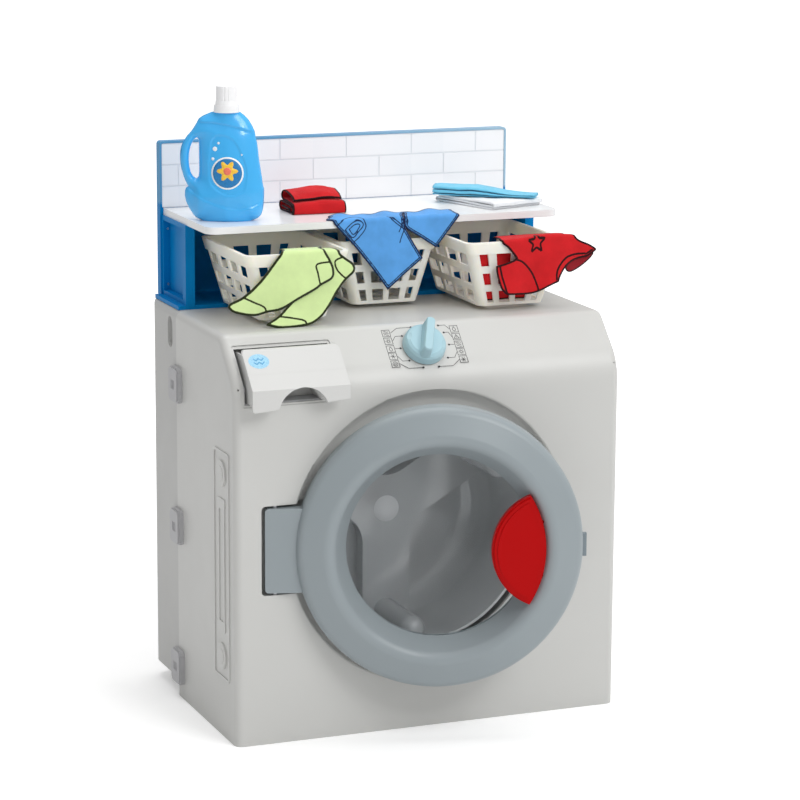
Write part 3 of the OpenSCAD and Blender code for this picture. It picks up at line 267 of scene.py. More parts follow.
dress(panel_material(), "hutch_back_panel")
dress(moulded("shelf_plastic", srgb("F2F3F4"), 0.22, grain=0.06, mottle=0.008), "hutch_shelf")
basket_mat = moulded("basket_plastic", srgb("FBF5E6"), 0.46, grain=0.2, mottle=0.015)
basket_bsdf = next(node for node in basket_mat.node_tree.nodes if node.type == "BSDF_PRINCIPLED")
basket_bsdf.inputs["Subsurface Weight"].default_value = 0.5
basket_bsdf.inputs["Subsurface Radius"].default_value = (1.0, 0.75, 0.5)
basket_bsdf.inputs["Subsurface Scale"].default_value = 0.012
dress(basket_mat, "basket_left", "basket_middle", "basket_right")
dress(moulded("cap_plastic", srgb("F6F6F7"), 0.4, grain=0.2, mottle=0.01), "bottle_cap")


def tile_material():
    """Glazed tiles: joint lines, each tile a touch different, slightly wavy glaze."""
    mat, tree, bsdf = new_material("tile_glaze")
    place = tree.nodes.new("ShaderNodeTexCoord")
    parts = add(tree, "ShaderNodeSeparateXYZ", Vector=place.outputs["Object"])
    low, high, joint, width = 558.8, 633.2, 1.6, 83.0
    row = (high - low) / 3
    level = maths(tree, "DIVIDE", maths(tree, "SUBTRACT", parts.outputs["Z"], low * MM), row * MM)
    number = maths(tree, "FLOOR", level)
    shift = maths(tree, "MULTIPLY", maths(tree, "MODULO", number, 2.0), 0.5)
    across = maths(tree, "SUBTRACT", maths(tree, "DIVIDE", maths(tree, "SUBTRACT", parts.outputs["X"], 12 * MM), width * MM), shift)
    distances = []
    for value, size in ((level, row), (across, width)):
        part = maths(tree, "SUBTRACT", value, maths(tree, "ROUND", value))
        distances.append(maths(tree, "MULTIPLY", maths(tree, "ABSOLUTE", part), size))
    nearest = maths(tree, "MINIMUM", *distances)
    groove = ranged(tree, nearest, 1.0, 0.0, joint / 2 - 0.25, joint / 2 + 0.35)
    cell = tree.nodes.new("ShaderNodeTexWhiteNoise")
    cell.noise_dimensions = "2D"
    key = add(tree, "ShaderNodeCombineXYZ", X=maths(tree, "ROUND", across), Y=number)
    tree.links.new(key.outputs[0], cell.inputs["Vector"])
    glaze = mixed(tree, cell.outputs["Value"], srgb("F3F4F7"), srgb("F8F8FA"))
    tree.links.new(mixed(tree, groove, glaze, srgb("E6E8EC")), bsdf.inputs["Base Color"])
    tree.links.new(ranged(tree, groove, 0.16, 0.5, 0.0, 1.0), bsdf.inputs["Roughness"])
    height = maths(tree, "SUBTRACT", maths(tree, "MULTIPLY", noise_at(tree, 22.0), 0.35), groove)
    bump = add(tree, "ShaderNodeBump", Height=height, Strength=0.3, Distance=0.0006)
    tree.links.new(bump.outputs[0], bsdf.inputs["Normal"])
    return mat


dress(tile_material(), "tile_panel")


# ---------------------------------------------------------------- mesh helpers
def mesh_object(name, points, faces, mat, smooth=True):
    data = bpy.data.meshes.new(name)
    data.from_pydata([tuple(p) for p in points], [], faces)
    data.validate()
    data.update()
    obj = bpy.data.objects.new(name, data)
    SCENE.collection.objects.link(obj)
    data.materials.append(mat)
    if smooth:
        for face in data.polygons:
            face.use_smooth = True
    return obj


def closed_curve(points, steps=6):
    """Smooth closed line through the points."""
    out = []
    n = len(points)
    for i in range(n):
        a, b, c, d = (Vector(points[(i + k) % n]) for k in (-1, 0, 1, 2))
        for k in range(steps):
            t = k / steps
            out.append(
                0.5 * ((2 * b) + (c - a) * t + (2 * a - 5 * b + 4 * c - d) * t * t + (3 * b - a - 3 * c + d) * t**3)
            )
    return out


def open_curve(points, steps=8):
    pts = [Vector(p) for p in points]
    pts = [2 * pts[0] - pts[1]] + pts + [2 * pts[-1] - pts[-2]]
    out = []
    for i in range(1, len(pts) - 2):
        a, b, c, d = pts[i - 1 : i + 3]
        for k in range(steps):
            t = k / steps
            out.append(
                0.5 * ((2 * b) + (c - a) * t + (2 * a - 5 * b + 4 * c - d) * t * t + (3 * b - a - 3 * c + d) * t**3)
            )
    return out + [pts[-2]]


def distance(points, line, closed=False):
    """Distance of every point to a line, all in the same units."""
    p = np.array([tuple(q) for q in points])[:, None, :]
    a = np.array([tuple(q) for q in line])
    b = np.roll(a, -1, axis=0)
    if not closed:
        a, b = a[:-1], b[:-1]
    d = b - a
    t = np.clip(((p - a) * d).sum(2) / np.maximum((d * d).sum(1), 1e-12), 0, 1)
    return np.sqrt((((p - a) - t[..., None] * d) ** 2).sum(2)).min(1)


def inside(points, loop):
    p = np.array([tuple(q) for q in points])
    a = np.array([tuple(q) for q in loop])
    b = np.roll(a, 1, axis=0)
    x, y = p[:, 0][:, None], p[:, 1][:, None]
    with np.errstate(divide="ignore", invalid="ignore"):
        cross = (b[:, 0] - a[:, 0]) * (y - a[:, 1]) / (b[:, 1] - a[:, 1]) + a[:, 0]
    return (((a[:, 1] > y) != (b[:, 1] > y)) & (x < cross)).sum(1) % 2 == 1


def resampled(line, step, closed=False):
    pts = [Vector(tuple(p)[:2]) for p in line] + ([Vector(tuple(line[0])[:2])] if closed else [])
    out, left = [pts[0]], step
    for a, b in zip(pts, pts[1:]):
        length = (b - a).length
        at = left
        while at < length:
            out.append(a + (b - a) * (at / length))
            at += step
        left = at - length
    if closed:
        return out[:-1] if (out[-1] - pts[0]).length < step * 0.5 else out
    if (out[-1] - pts[-1]).length < step * 0.4:
        out.pop()
    return out + [pts[-1]]


def beside(line, offset, closed=False):
    """The line moved sideways by an offset."""
    n = len(line)
    out = []
    for i, p in enumerate(line):
        a = line[i - 1] if closed or i else p
        b = line[(i + 1) % n] if closed or i < n - 1 else p
        d = (b - a).normalized()
        out.append(p + Vector((-d.y, d.x)) * offset)
    return out


def flat_fill(loop, step, rims=(), lines=(), holes=()):
    """Triangles of a flat piece: grid points step apart, rows of points along its rims and lines."""
    rings = [loop, *holes]
    rows = []
    for ring in rings:
        for offset in rims:
            for side in (offset, -offset):
                rows.append((beside(ring, side, True), offset * 0.85))
    for line, half in lines:
        line = resampled(line, 1.3)
        for offset in (0, half, -half, half + 0.9, -half - 0.9):
            rows.append((beside(line, offset), 0.3))
    xs = [p.x for p in loop]
    ys = [p.y for p in loop]
    grid = []
    for r in range(int((max(ys) - min(ys)) / (step * 0.866)) + 1):
        for c in range(int((max(xs) - min(xs)) / step) + 1):
            grid.append(Vector((min(xs) + (c + 0.5 * (r % 2)) * step, min(ys) + r * step * 0.866)))
    clear = step * 0.5 + (max(rims) if rims else 0)
    rows.append((grid, clear))
    kept = [p for ring in rings for p in ring]
    taken = {(round(p.x / 0.35), round(p.y / 0.35)) for p in kept}
    for row, gap in rows:
        ok = inside(row, loop)
        for ring in rings:
            ok &= distance(row, ring, True) > gap
        for hole in holes:
            ok &= ~inside(row, hole)
        if row is grid:
            for line, half in lines:
                ok &= distance(row, line) > half + 1.3
        for p, good in zip(row, ok):
            key = (round(p.x / 0.35), round(p.y / 0.35))
            if good and key not in taken:
                taken.add(key)
                kept.append(p)
    edges = []
    start = 0
    for ring in rings:
        n = len(ring)
        edges += [(start + i, start + (i + 1) % n) for i in range(n)]
        start += n
    verts, _, faces, _, _, _ = geometry.delaunay_2d_cdt(kept, edges, [], 1, 1e-5)
    verts = [Vector(v) for v in verts]
    if holes:
        middles = [(verts[a] + verts[b] + verts[c]) / 3 for a, b, c in faces]
        good = np.ones(len(faces), bool)
        for hole in holes:
            good &= ~inside(middles, hole)
        faces = [f for f, g in zip(faces, good) if g]
    return verts, [tuple(f) for f in faces]


def put_attributes(obj, flat, ink):
    """Flat coordinates in metres as UVs, and the distance to the printed lines in mm."""
    data = obj.data
    layer = data.uv_layers.new(name="flat")
    for loop in data.loops:
        u, v = flat[loop.vertex_index]
        layer.data[loop.index].uv = (u * MM, v * MM)
    attribute = data.attributes.new("ink", "FLOAT", "POINT")
    for i, value in enumerate(ink):
        attribute.data[i].value = value


def cloth_shell(name, points, faces, flat, ink, thick, mat):
    """Closed thin shell on a sheet of triangles: the second side is offset along the normals."""
    n = len(points)
    normals = [Vector() for _ in points]
    for f in faces:
        a, b, c = (points[i] for i in f[:3])
        normal = (b - a).cross(c - a)
        for i in f:
            normals[i] += normal
    shell = list(points) + [p + v.normalized() * thick * MM for p, v in zip(points, normals)]
    sides = {}
    for f in faces:
        for i in range(len(f)):
            a, b = f[i], f[(i + 1) % len(f)]
            if (b, a) in sides:
                del sides[(b, a)]
            else:
                sides[(a, b)] = True
    all_faces = [tuple(reversed(f)) for f in faces]
    all_faces += [tuple(i + n for i in f) for f in faces]
    all_faces += [(a, b, b + n, a + n) for a, b in sides]
    obj = mesh_object(name, shell, all_faces, mat)
    put_attributes(obj, flat * 2, ink * 2)
    return obj


# ---------------------------------------------------------------- clothes hung over an edge
DRAPE_R = 0.9


def hung_surface(s, x, lap, edge_y, top_z, sink=0.0, depth=2.0, pitch=70.0, swing=(0.0, 0.0), seed=0.0, crumple=0.5, setback=0.0):
    """Point of a cloth over an edge: s runs down the cloth, x across it, all in mm."""
    turn = math.radians(90 * min(max((s - lap) / (DRAPE_R * math.pi / 2), 0), 1))
    flat = max(lap - s, 0)
    drop = max(s - lap - DRAPE_R * math.pi / 2, 0)
    y = edge_y + DRAPE_R - DRAPE_R * math.sin(turn) + flat
    z = top_z - DRAPE_R + DRAPE_R * math.cos(turn) - sink * max(flat - 6, 0) - drop
    free = max(s - lap, 0) / 80
    reach = depth * min(free, 1) * (1 + math.sin(math.radians(360 * x / pitch + 40 * free)))
    reach += swing[1] * max((s - swing[0]) / 30, 0) ** 1.4
    crease = crumple * min(free * 3, 1) * (
        1 + noise.noise(Vector((s * 0.045 + seed, x * 0.06, seed))) + 0.5 * noise.noise(Vector((s * 0.12, x * 0.1 + seed, 3.1)))
    )
    reach += max(crease, 0)
    reach -= setback
    return Vector((x - 0.4 * reach, y - reach, z + 0.22 * reach)) * MM


def hung_cloth(name, loop, lines, mat, border=((0.0, 2.6),), line=0.85, step=3.2, thick=1.3, loft=None, **how):
    """Cloth cut along a loop; border holds (distance from the edge, half width) of the lines printed along it."""
    loop = resampled(closed_curve(loop), 1.9, True)
    lines = [(open_curve(l), line) for l in lines]
    rims = sorted({round(max(d + k * w, 0.3), 2) for d, w in border for k in (-1, 0, 1) if d + k * w > 0.2} | {max(d + w for d, w in border) + 0.9})
    flat, faces = flat_fill(loop, step, rims, lines)
    points = [hung_surface(p.x, p.y, **how) for p in flat]
    if loft:
        points = [q + Vector((0, 0, loft(p.x, p.y) * MM)) for p, q in zip(flat, points)]
    a, b, c = (points[i] for i in faces[0])
    if (b - a).cross(c - a).z + -(b - a).cross(c - a).y < 0:
        faces = [tuple(reversed(f)) for f in faces]
    edge = distance(flat, loop, True)
    ink = np.full(len(flat), 9.0)
    for d, w in border:
        ink = np.minimum(ink, np.abs(edge - d) - w)
    for l, half in lines:
        ink = np.minimum(ink, distance(flat, l) - half)
    obj = cloth_shell(name, points, faces, [(p.x, p.y) for p in flat], [float(v) for v in ink], thick, mat)
    return obj, loop


GREEN = cloth_material("sock_print", srgb("D9F0AA"), ink=srgb("262E10"), thread=0.0006)
BLUE = cloth_material("trouser_print", srgb("5DA4E8"), ink=srgb("14264F"), fuzz=0.3, tone=0.09)
RED = cloth_material("shirt_print", srgb("CE1C22"), ink=srgb("2C070C"), fuzz=0.12, tone=0.09)
# painted shade: a darker copy of the shirt red, for the back of the neck seen through the neck opening
SHADED_RED = cloth_material("shirt_inside_shade", srgb("8E0F1C"), ink=srgb("2C070C"))
WHITE = cloth_material("white_weave", srgb("F1F3F6"), tone=0.02)
TURQUOISE = cloth_material("turquoise_weave", srgb("72CBEC"))

SOCK_A = dict(lap=33.8, edge_y=RIM_EDGE_Y - 2.6, top_z=RIM_REST + 2.2, sink=0.1, depth=1.6, pitch=70, seed=1.0)
SOCK_B = dict(lap=33.8, edge_y=RIM_EDGE_Y, top_z=RIM_REST, sink=0.1, depth=0.3, pitch=70, swing=(74, 7), seed=5.0, crumple=0.25)
sock_a, loop_a = hung_cloth(
    "sock_upper",
    [
        (0, -136), (14, -140), (30, -146.5), (44.3, -157.2), (65, -174.6), (80.5, -193.2), (87.2, -208.2), (92.3, -210.5),
        (98.5, -202.6), (103, -181.4), (100.1, -165.4), (97.4, -147.9), (87.1, -127.7), (77.8, -108.8), (73.1, -102),
        (66.1, -88.8), (55.9, -87.1), (45.4, -91.2), (30, -99), (14, -96), (0, -92),
    ],
    [
        [(80.4, -195.9), (87.6, -181.3), (93.5, -169.4), (99.4, -166.7)],
        [(47.3, -91.9), (49.6, -107.5), (60.0, -106.1), (72.9, -103.4)],
    ],
    GREEN,
    line=1.0,
    **SOCK_A,
)
sock_b, loop_b = hung_cloth(
    "sock_lower",
    [
        (0, -108), (32, -118), (55, -112), (75, -122), (90, -138), (103.3, -151.2), (111.5, -164.7), (114.3, -161.6),
        (117.7, -145.2), (115.9, -116), (107.7, -100.8), (94.1, -90.1), (80.2, -82), (67.8, -72.5), (58.1, -61.8),
        (49, -63), (40.7, -74), (32, -80), (0, -78),
    ],
    [
        [(103.8, -151.0), (106.9, -134.6), (110.4, -121.1), (115.8, -117.6)],
        [(40.7, -75), (45.2, -84.8), (55.7, -82.1), (65.9, -71.8)],
    ],
    GREEN,
    line=1.0,
    **SOCK_B,
)
for piece, loop in ((sock_a, loop_a), (sock_b, loop_b)):
    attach(piece, "left_basket")
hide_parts("socks")
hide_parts("socks")

TROUSERS = dict(lap=27.8, edge_y=SHELF_FRONT - GAP, top_z=SHELF_TOP + GAP, depth=2.6, pitch=74, seed=9.0)
DOUBLE = ((0.0, 1.7), (3.1, 0.55))


def crown(s, x):
    """The cloth lies up in soft ridges on the shelf."""
    on = max(0.0, min(1.0, (27.0 - s) / 10.0))
    return on * (1.2 + 1.1 * math.sin(x * 0.11 + 0.6) + 0.8 * math.sin(x * 0.23 + s * 0.1))


leg_a, loop_c = hung_cloth(
    "trousers_left_leg",
    [
        (0, -54), (10, -62), (19.2, -70.6), (27, -67), (35.2, -61.7), (58.3, -40.3), (86.9, -16.9), (109.0, -0.6), (110.6, 0.4),
        (109.6, 2), (93.6, 20.8), (77, 41.8), (76.2, 43), (74.6, 42.4), (59.6, 32.8), (43.1, 23.3), (38, 21), (26, 20), (12, 26), (0, 30),
    ],
    [
        [(35.1, -62.6), (29.1, -55.3), (21.5, -43), (21.8, -34.6), (28.4, -29.4), (34.8, -26.6), (40.4, -28.3), (48, -34.8), (53.0, -41.0)],
        [(38.8, -51.5), (31.4, -43.2), (29, -36.7), (31.1, -31.1), (35.5, -30.2), (41.8, -35.7), (48.1, -42.7), (38.8, -51.5)],
        [(38.6, -46.9), (34.1, -41.3), (32.8, -36.4), (35.2, -34), (44.6, -41.3), (38.6, -46.9)],
        [(25.8, 0.5), (31.7, 7.2), (38.4, 15.7), (41.2, 20)],
        [(26.9, 4.2), (31.0, 10.4), (36.3, 16.6), (39.4, 20.4)],
        [(30.5, 20.3), (35.2, 18.0), (40.3, 15.9), (44.4, 13.9)],
        [(41.9, 20.3), (49.2, 17.3), (56.9, 14.9)],
    ],
    BLUE,
    border=DOUBLE,
    line=0.6,
    loft=crown,
    **TROUSERS,
)
leg_b, loop_d = hung_cloth(
    "trousers_right_leg",
    [
        (0, 31), (12, 26.5), (26, 21), (39.9, 22), (51.9, 39.8), (63.6, 57.8), (64.9, 59.4), (63.4, 61), (47.5, 73.9), (30.6, 87.4), (29.2, 88.2), (27.6, 87.6),
        (14, 86), (0, 84),
    ],
    [
        [(29.5, 23.4), (33, 24.6), (36.5, 23.6)],
    ],
    BLUE,
    border=DOUBLE,
    line=0.6,
    loft=crown,
    **TROUSERS,
)
for piece, loop in ((leg_a, loop_c), (leg_b, loop_d)):
    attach(piece, "middle_basket")
    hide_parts("blue_trousers")

SHIRT = dict(lap=31.8, edge_y=RIM_EDGE_Y, top_z=RIM_REST, depth=3.6, pitch=58, seed=14.0)


def shoulder(s, x):
    """The shirt stands a little proud of the rim towards its right side."""
    return 4.2 * math.exp(-(((x - 178) / 34) ** 2)) * math.exp(-(((s - 30) / 14) ** 2))


STAR = [
    (37.5 - (10.5 if k % 2 == 0 else 4.9) * math.cos(math.pi * k / 5), 160 + (10.5 if k % 2 == 0 else 4.9) * math.sin(math.pi * k / 5))
    for k in range(11)
]
shirt, loop_e = hung_cloth(
    "shirt_front",
    [
        (0, 126), (14, 121), (32, 116.8), (40.3, 124.8), (51.6, 134.2), (53.6, 133.2), (57.4, 122.3), (59.8, 111.4), (61.6, 110.2), (72.4, 112),
        (85.9, 116.5), (92.6, 121.8), (94, 124.2), (94.5, 137.9), (94.1, 152.3), (91.9, 164.7), (88.4, 173.5), (84.4, 183), (82.4, 188.2), (80.6, 188.8),
        (74.6, 190.9), (66, 196.4), (59.6, 204), (56.2, 213.5), (54.6, 224), (49.2, 233.4), (47.1, 235), (45.2, 233.4), (40.3, 225),
        (32.9, 208.6), (16, 204), (0, 198),
    ],
    [
        [(61.4, 115.0), (71.1, 117.2), (81.2, 120.4), (91.2, 123.6)],
        [(53.8, 135.2), (57.8, 143.7), (69.0, 153.7), (81.7, 160.1), (90.2, 163.4)],
        [(79.4, 185.4), (70.1, 186.0), (62.0, 190.2), (54.9, 197.3), (51.5, 207.6), (51.0, 220.5)],
        [(47.4, 229.8), (51.6, 222.5)],
        [v for a, b in zip(STAR, STAR[1:]) for v in (a, ((a[0] + b[0]) / 2, (a[1] + b[1]) / 2))] + STAR[:1],
    ],
    RED,
    border=((0.0, 2.1),),
    line=1.15,
    loft=shoulder,
    **SHIRT,
)
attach(shirt, "right_basket")
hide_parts("red_shirt")

# the back of the neck hangs a little lower behind the front one
BACK = dict(SHIRT, edge_y=RIM_EDGE_Y, top_z=RIM_REST - 0.1, seed=3.0)
# the neck cloth takes the painted-shade red
neck, loop_f = hung_cloth(
    "shirt_neck",
    [
        (50, 226), (54, 213), (58, 204), (64, 197), (69.4, 197.6), (71.6, 203), (66.6, 214.4), (58.4, 226), (52.2, 231.6), (49.8, 231),
    ],
    [],
    SHADED_RED,
    border=((0.0, 1.5),),
    step=2.6,
    thick=0.9,
    setback=2.2,
    **BACK,
)
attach(neck, "right_basket")


def tail_surface(x, z):
    """Inner front wall of the right basket, following its taper."""
    foot_l, rim_l = 136.0, 156.0
    y = BASKET_BACK - BASKET_LEN / 2 - BASKET_OUT - (foot_l + (rim_l - foot_l) * z / BASKET_H) / 2
    wave = 1 + math.sin(math.radians(9 * 57.3 * x / 57.3))
    return Vector((x, y + 3.2 + wave, BASE_Z + GAP + z)) * MM


def shirt_tail():
    half = lambda z: (80 + 40 * z / BASKET_H) / 2 - 9.5
    zs = [72 - 66 * i / 28 for i in range(29)]
    cols = 26
    points, flat, ink = [], [], []
    for z in zs:
        for j in range(cols + 1):
            x = 136 - half(z) + 54 * j / cols
            points.append(tail_surface(x, z))
            flat.append((z, x))
            ink.append(min(z - 6, 54 * j / cols, 54 - 54 * j / cols) - 1.7)
    faces = []
    for i in range(len(zs) - 1):
        for j in range(cols):
            a = i * (cols + 1) + j
            faces.append((a, a + 1, a + cols + 2, a + cols + 1))
    obj = cloth_shell("shirt_back", points, faces, flat, ink, 1.3, RED)
    return obj


tail = shirt_tail()
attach(tail, "right_basket")
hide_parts("shirt_tail")


# ---------------------------------------------------------------- folded cloths on the shelf
def folded_cloth(name, width, path, thick, place, turn, mat, wave=0.4, taper=None, border=1.6, cols=28, crown=None, squeeze=None, narrow=None, seed=0.0):
    """One strip of cloth folded along a path in the Y-Z plane, as wide as width(t) at share t of the path."""
    path = open_curve(path, 7)
    lengths = [0.0]
    for i in range(1, len(path)):
        lengths.append(lengths[-1] + (path[i] - path[i - 1]).length)
    total = lengths[-1]
    taper = taper or (lambda t: 1.0)
    turn = math.radians(turn)
    points, flat, ink = [], [], []
    other = []
    for i, p in enumerate(path):
        a = path[max(i - 1, 0)]
        b = path[min(i + 1, len(path) - 1)]
        d = (b - a).normalized()
        normal = Vector((-d.y, d.x))
        t = lengths[i] / total
        w = width * taper(t)
        for j in range(cols + 1):
            u = (j / cols - 0.5) * w
            lift = wave * (noise.noise(Vector((u * 0.05 + seed, p.x * 0.05, p.y * 0.15))) + 0.4 * noise.noise(Vector((u * 0.16, p.x * 0.13, seed))))
            lift *= min(1.0, max(p.y - 0.4, 0) / 3.0)
            for side, out in ((0.5, points), (-0.5, other)):
                q = p + normal * thick * side
                z = q.y + lift + (crown(u, q.y) if crown else 0)
                if squeeze:
                    z = max(z * squeeze(u), 0.03 * q.y)
                x, y = u, q.x * (narrow(u) if narrow else 1)
                out.append(
                    Vector(
                        (
                            place[0] + x * math.cos(turn) - y * math.sin(turn),
                            place[1] + x * math.sin(turn) + y * math.cos(turn),
                            place[2] + z,
                        )
                    )
                    * MM
                )
            flat.append((lengths[i], u))
            ink.append(min(w / 2 - abs(u), lengths[i], total - lengths[i]) - border)
    n = len(points)
    rows = len(path)
    faces = []
    quad = lambda i, j: (i * (cols + 1) + j, i * (cols + 1) + j + 1, (i + 1) * (cols + 1) + j + 1, (i + 1) * (cols + 1) + j)
    for i in range(rows - 1):
        for j in range(cols):
            q = quad(i, j)
            faces.append(q)
            faces.append(tuple(k + n for k in reversed(q)))
    for i in range(rows - 1):
        for j, flip in ((0, False), (cols, True)):
            a, b = i * (cols + 1) + j, (i + 1) * (cols + 1) + j
            f = (a, b, b + n, a + n)
            faces.append(tuple(reversed(f)) if flip else f)
    for j in range(cols):
        for i, flip in ((0, True), (rows - 1, False)):
            a, b = i * (cols + 1) + j, i * (cols + 1) + j + 1
            f = (a, b, b + n, a + n)
            faces.append(tuple(reversed(f)) if flip else f)
    obj = mesh_object(name, points + other, faces, mat)
    put_attributes(obj, flat * 2, ink * 2)
    return obj, width, total


red_fold, w, l = folded_cloth(
    "red_fold",
    64,
    [
        (15, 6.6), (-8, 6.2), (-14, 5.4), (-8, 3.2), (14, 1.1), (21, 1.1), (24.5, 6), (20, 12.0), (0, 11.9), (-16, 11.3),
        (-22.5, 9.8), (-25.4, 6), (-22.6, 2.0), (-26.6, 1.2), (-28.4, 6.2), (-26.2, 11.8), (-21, 13.6), (0, 14.2), (17, 14.6), (22.5, 19),
        (16, 24.4), (2, 24.8), (-12, 21.6), (-20.6, 16.4),
    ],
    1.5,
    (-59.5, 72, SHELF_TOP + 0.05),
    -2,
    RED,
    wave=1.0,
    taper=lambda t: 1.0 - 0.1 * max(t - 0.55, 0) / 0.45,
    crown=lambda u, z: (z / 26) * (2.2 * math.exp(-(((u - 12) / 17) ** 2)) - 2.6 * (u / 32) ** 2),
    seed=2.0,
)
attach(red_fold, "red_stack")
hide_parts("folded_red_cloth")


def zigzag(depth, levels, pitch, start, inset=0.6):
    """Path of a strip folded into flat layers, one over the other."""
    path = []
    sign = 1
    for k in range(levels):
        z = start + k * pitch
        reach = depth / 2 - 3 - inset * k
        path += [(-sign * reach, z), (0, z), (sign * reach, z)]
        if k < levels - 1:
            path.append((sign * (reach + 2), z + pitch / 2))
        sign = -sign
    return path


white_fold, w, l = folded_cloth(
    "white_fold", 76, zigzag(100, 3, 3.05, 1.35, 0.5), 2.2, (159, 64, SHELF_TOP + 0.05), 18, WHITE, wave=0.9, border=-9, cols=34, seed=4.0
)
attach(white_fold, "white_stack")
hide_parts("folded_white_cloth")

blue_fold, w, l = folded_cloth(
    "turquoise_fold",
    122,
    zigzag(37, 5, 2.3, 0.75, 0.5),
    1.1,
    (153, 62, SHELF_TOP + 9.75),
    -33,
    TURQUOISE,
    wave=1.1,
    border=-9,
    cols=46,
    squeeze=lambda u: 0.34 + 0.66 / (1 + math.exp((u - 14) / 9)),
    narrow=lambda u: 1 - 0.42 * max(0, (-u - 30) / 31) ** 1.4 - 0.16 * max(0, (u - 30) / 31),
    seed=7.0,
)
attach(blue_fold, "blue_stack")
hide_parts("folded_blue_cloth")


# ---------------------------------------------------------------- printed marks
def ink_material(name, color, rough=0.5):
    mat, tree, bsdf = new_material(name)
    speckle = ranged(tree, noise_at(tree, 900.0, 2.0), 0.0, 1.0)
    tree.links.new(mixed(tree, speckle, color, shade(color, 1.5)), bsdf.inputs["Base Color"])
    tree.links.new(ranged(tree, noise_at(tree, 200.0), rough * 0.9, rough * 1.1), bsdf.inputs["Roughness"])
    return mat


R = math.sqrt(0.5)


def on_slope(x, s, lift=0.0):
    """Point on the control panel: s is the distance below the crease."""
    return Vector((x, CREASE_Y - s * R - lift * R, BODY_H - s * R + lift * R)) * MM


class Marks:
    """Collects thin raised marks on a surface given by place(u, v, lift)."""

    def __init__(self, place, height=0.12):
        self.place = place
        self.height = height
        self.points = []
        self.faces = []

    def polygon(self, loop):
        n = len(self.points)
        m = len(loop)
        for lift in (0.01, self.height):
            self.points += [self.place(p[0], p[1], lift) for p in loop]
        self.faces.append(tuple(n + m + i for i in range(m)))
        self.faces.append(tuple(n + i for i in reversed(range(m))))
        for i in range(m):
            j = (i + 1) % m
            self.faces.append((n + i, n + j, n + m + j, n + m + i))

    def stroke(self, points, width, closed=False):
        pts = [Vector(p) for p in points]
        count = len(pts)
        left, right = [], []
        for i, p in enumerate(pts):
            a = pts[i - 1] if closed or i else p
            b = pts[(i + 1) % count] if closed or i < count - 1 else p
            d1 = (p - a).normalized() if (p - a).length else (b - p).normalized()
            d2 = (b - p).normalized() if (b - p).length else d1
            d = (d1 + d2).normalized()
            normal = Vector((-d.y, d.x))
            k = width / 2 / max(0.4, normal.dot(Vector((-d1.y, d1.x))))
            left.append(p + normal * k)
            right.append(p - normal * k)
        n = len(self.points)
        for lift in (0.01, self.height):
            for side in (left, right):
                self.points += [self.place(p.x, p.y, lift) for p in side]
        low_l, low_r, top_l, top_r = n, n + count, n + 2 * count, n + 3 * count
        spans = count if closed else count - 1
        for i in range(spans):
            j = (i + 1) % count
            self.faces += [
                (top_r + i, top_r + j, top_l + j, top_l + i),
                (low_l + i, low_l + j, low_r + j, low_r + i),
                (low_r + i, low_r + j, top_r + j, top_r + i),
                (low_l + j, low_l + i, top_l + i, top_l + j),
            ]
        if not closed:
            e = count - 1
            self.faces += [(low_l, low_r, top_r, top_l), (low_r + e, low_l + e, top_l + e, top_r + e)]

    def disc(self, u, v, r, n=20):
        self.polygon([(u + r * math.cos(2 * math.pi * k / n), v + r * math.sin(2 * math.pi * k / n)) for k in range(n)])

    def ring(self, u, v, r, width, n=28):
        self.stroke([(u + r * math.cos(2 * math.pi * k / n), v + r * math.sin(2 * math.pi * k / n)) for k in range(n)], width, True)

    def box(self, u, v, w, h, width):
        self.stroke([(u - w / 2, v - h / 2), (u + w / 2, v - h / 2), (u + w / 2, v + h / 2), (u - w / 2, v + h / 2)], width, True)

    def build(self, name, mat, body):
        obj = mesh_object(name, self.points, self.faces, mat, smooth=False)
        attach(obj, body)
        return obj


panel = Marks(lambda u, v, lift: on_slope(u, v, lift))
DOTS = [
    [(-7.5, 6.4), (-21.1, 17.1), (-27.1, 33.3), (-21.4, 50.2), (-7.4, 60.4)],
    [(25.3, 6.3), (29.4, 16.2), (31.0, 32.8), (24.8, 50.0), (11.2, 60.8)],
]
ICON_S = [12.3, 22.8, 33.3, 43.2, 53.4]
for side, (dots, column) in enumerate(zip(DOTS, (-38.8, 42.8))):
    inner = column + (5.2 if side == 0 else -5.2)
    for dot, s in zip(dots, ICON_S):
        panel.disc(dot[0], dot[1], 1.25)
        bend = inner + (dot[0] - inner) * 0.35
        panel.stroke([dot, (bend, dot[1]), (inner, s)], 0.55)
        panel.box(column, s, 9.2, 8.6, 0.55)
    # plain pictures: drops, waves, a sun, leaves and a moon, one to each box
    for k, s in enumerate(ICON_S):
        kind = k + 5 * side
        c = column
        if kind in (0, 7):
            for d in (-2.2, 0, 2.2):
                panel.stroke([(c - 3, s + d), (c - 1.5, s + d - 0.9), (c, s + d), (c + 1.5, s + d + 0.9), (c + 3, s + d)], 0.5)
        elif kind in (1, 8):
            panel.ring(c, s, 1.5, 0.55, 16)
            for a in range(8):
                t = math.radians(45 * a)
                panel.stroke([(c + 2.2 * math.cos(t), s + 2.2 * math.sin(t)), (c + 3.3 * math.cos(t), s + 3.3 * math.sin(t))], 0.5)
        elif kind in (2, 5):
            panel.stroke([(c, s - 3.1), (c + 1.9, s + 0.4), (c + 1.2, s + 2.3), (c, s + 2.9), (c - 1.2, s + 2.3), (c - 1.9, s + 0.4)], 0.55, True)
        elif kind in (3, 9):
            for a in range(3):
                t = math.radians(60 * a)
                panel.stroke([(c - 3 * math.cos(t), s - 3 * math.sin(t)), (c + 3 * math.cos(t), s + 3 * math.sin(t))], 0.55)
        elif kind == 4:
            panel.ring(c, s, 2.8, 0.55, 20)
            panel.ring(c, s, 1.2, 0.5, 12)
        else:
            panel.stroke([(c - 3, s + 2.4), (c, s - 2.8), (c + 3, s + 2.4)], 0.6, True)
            panel.stroke([(c, s - 0.8), (c, s + 1.2)], 0.5)
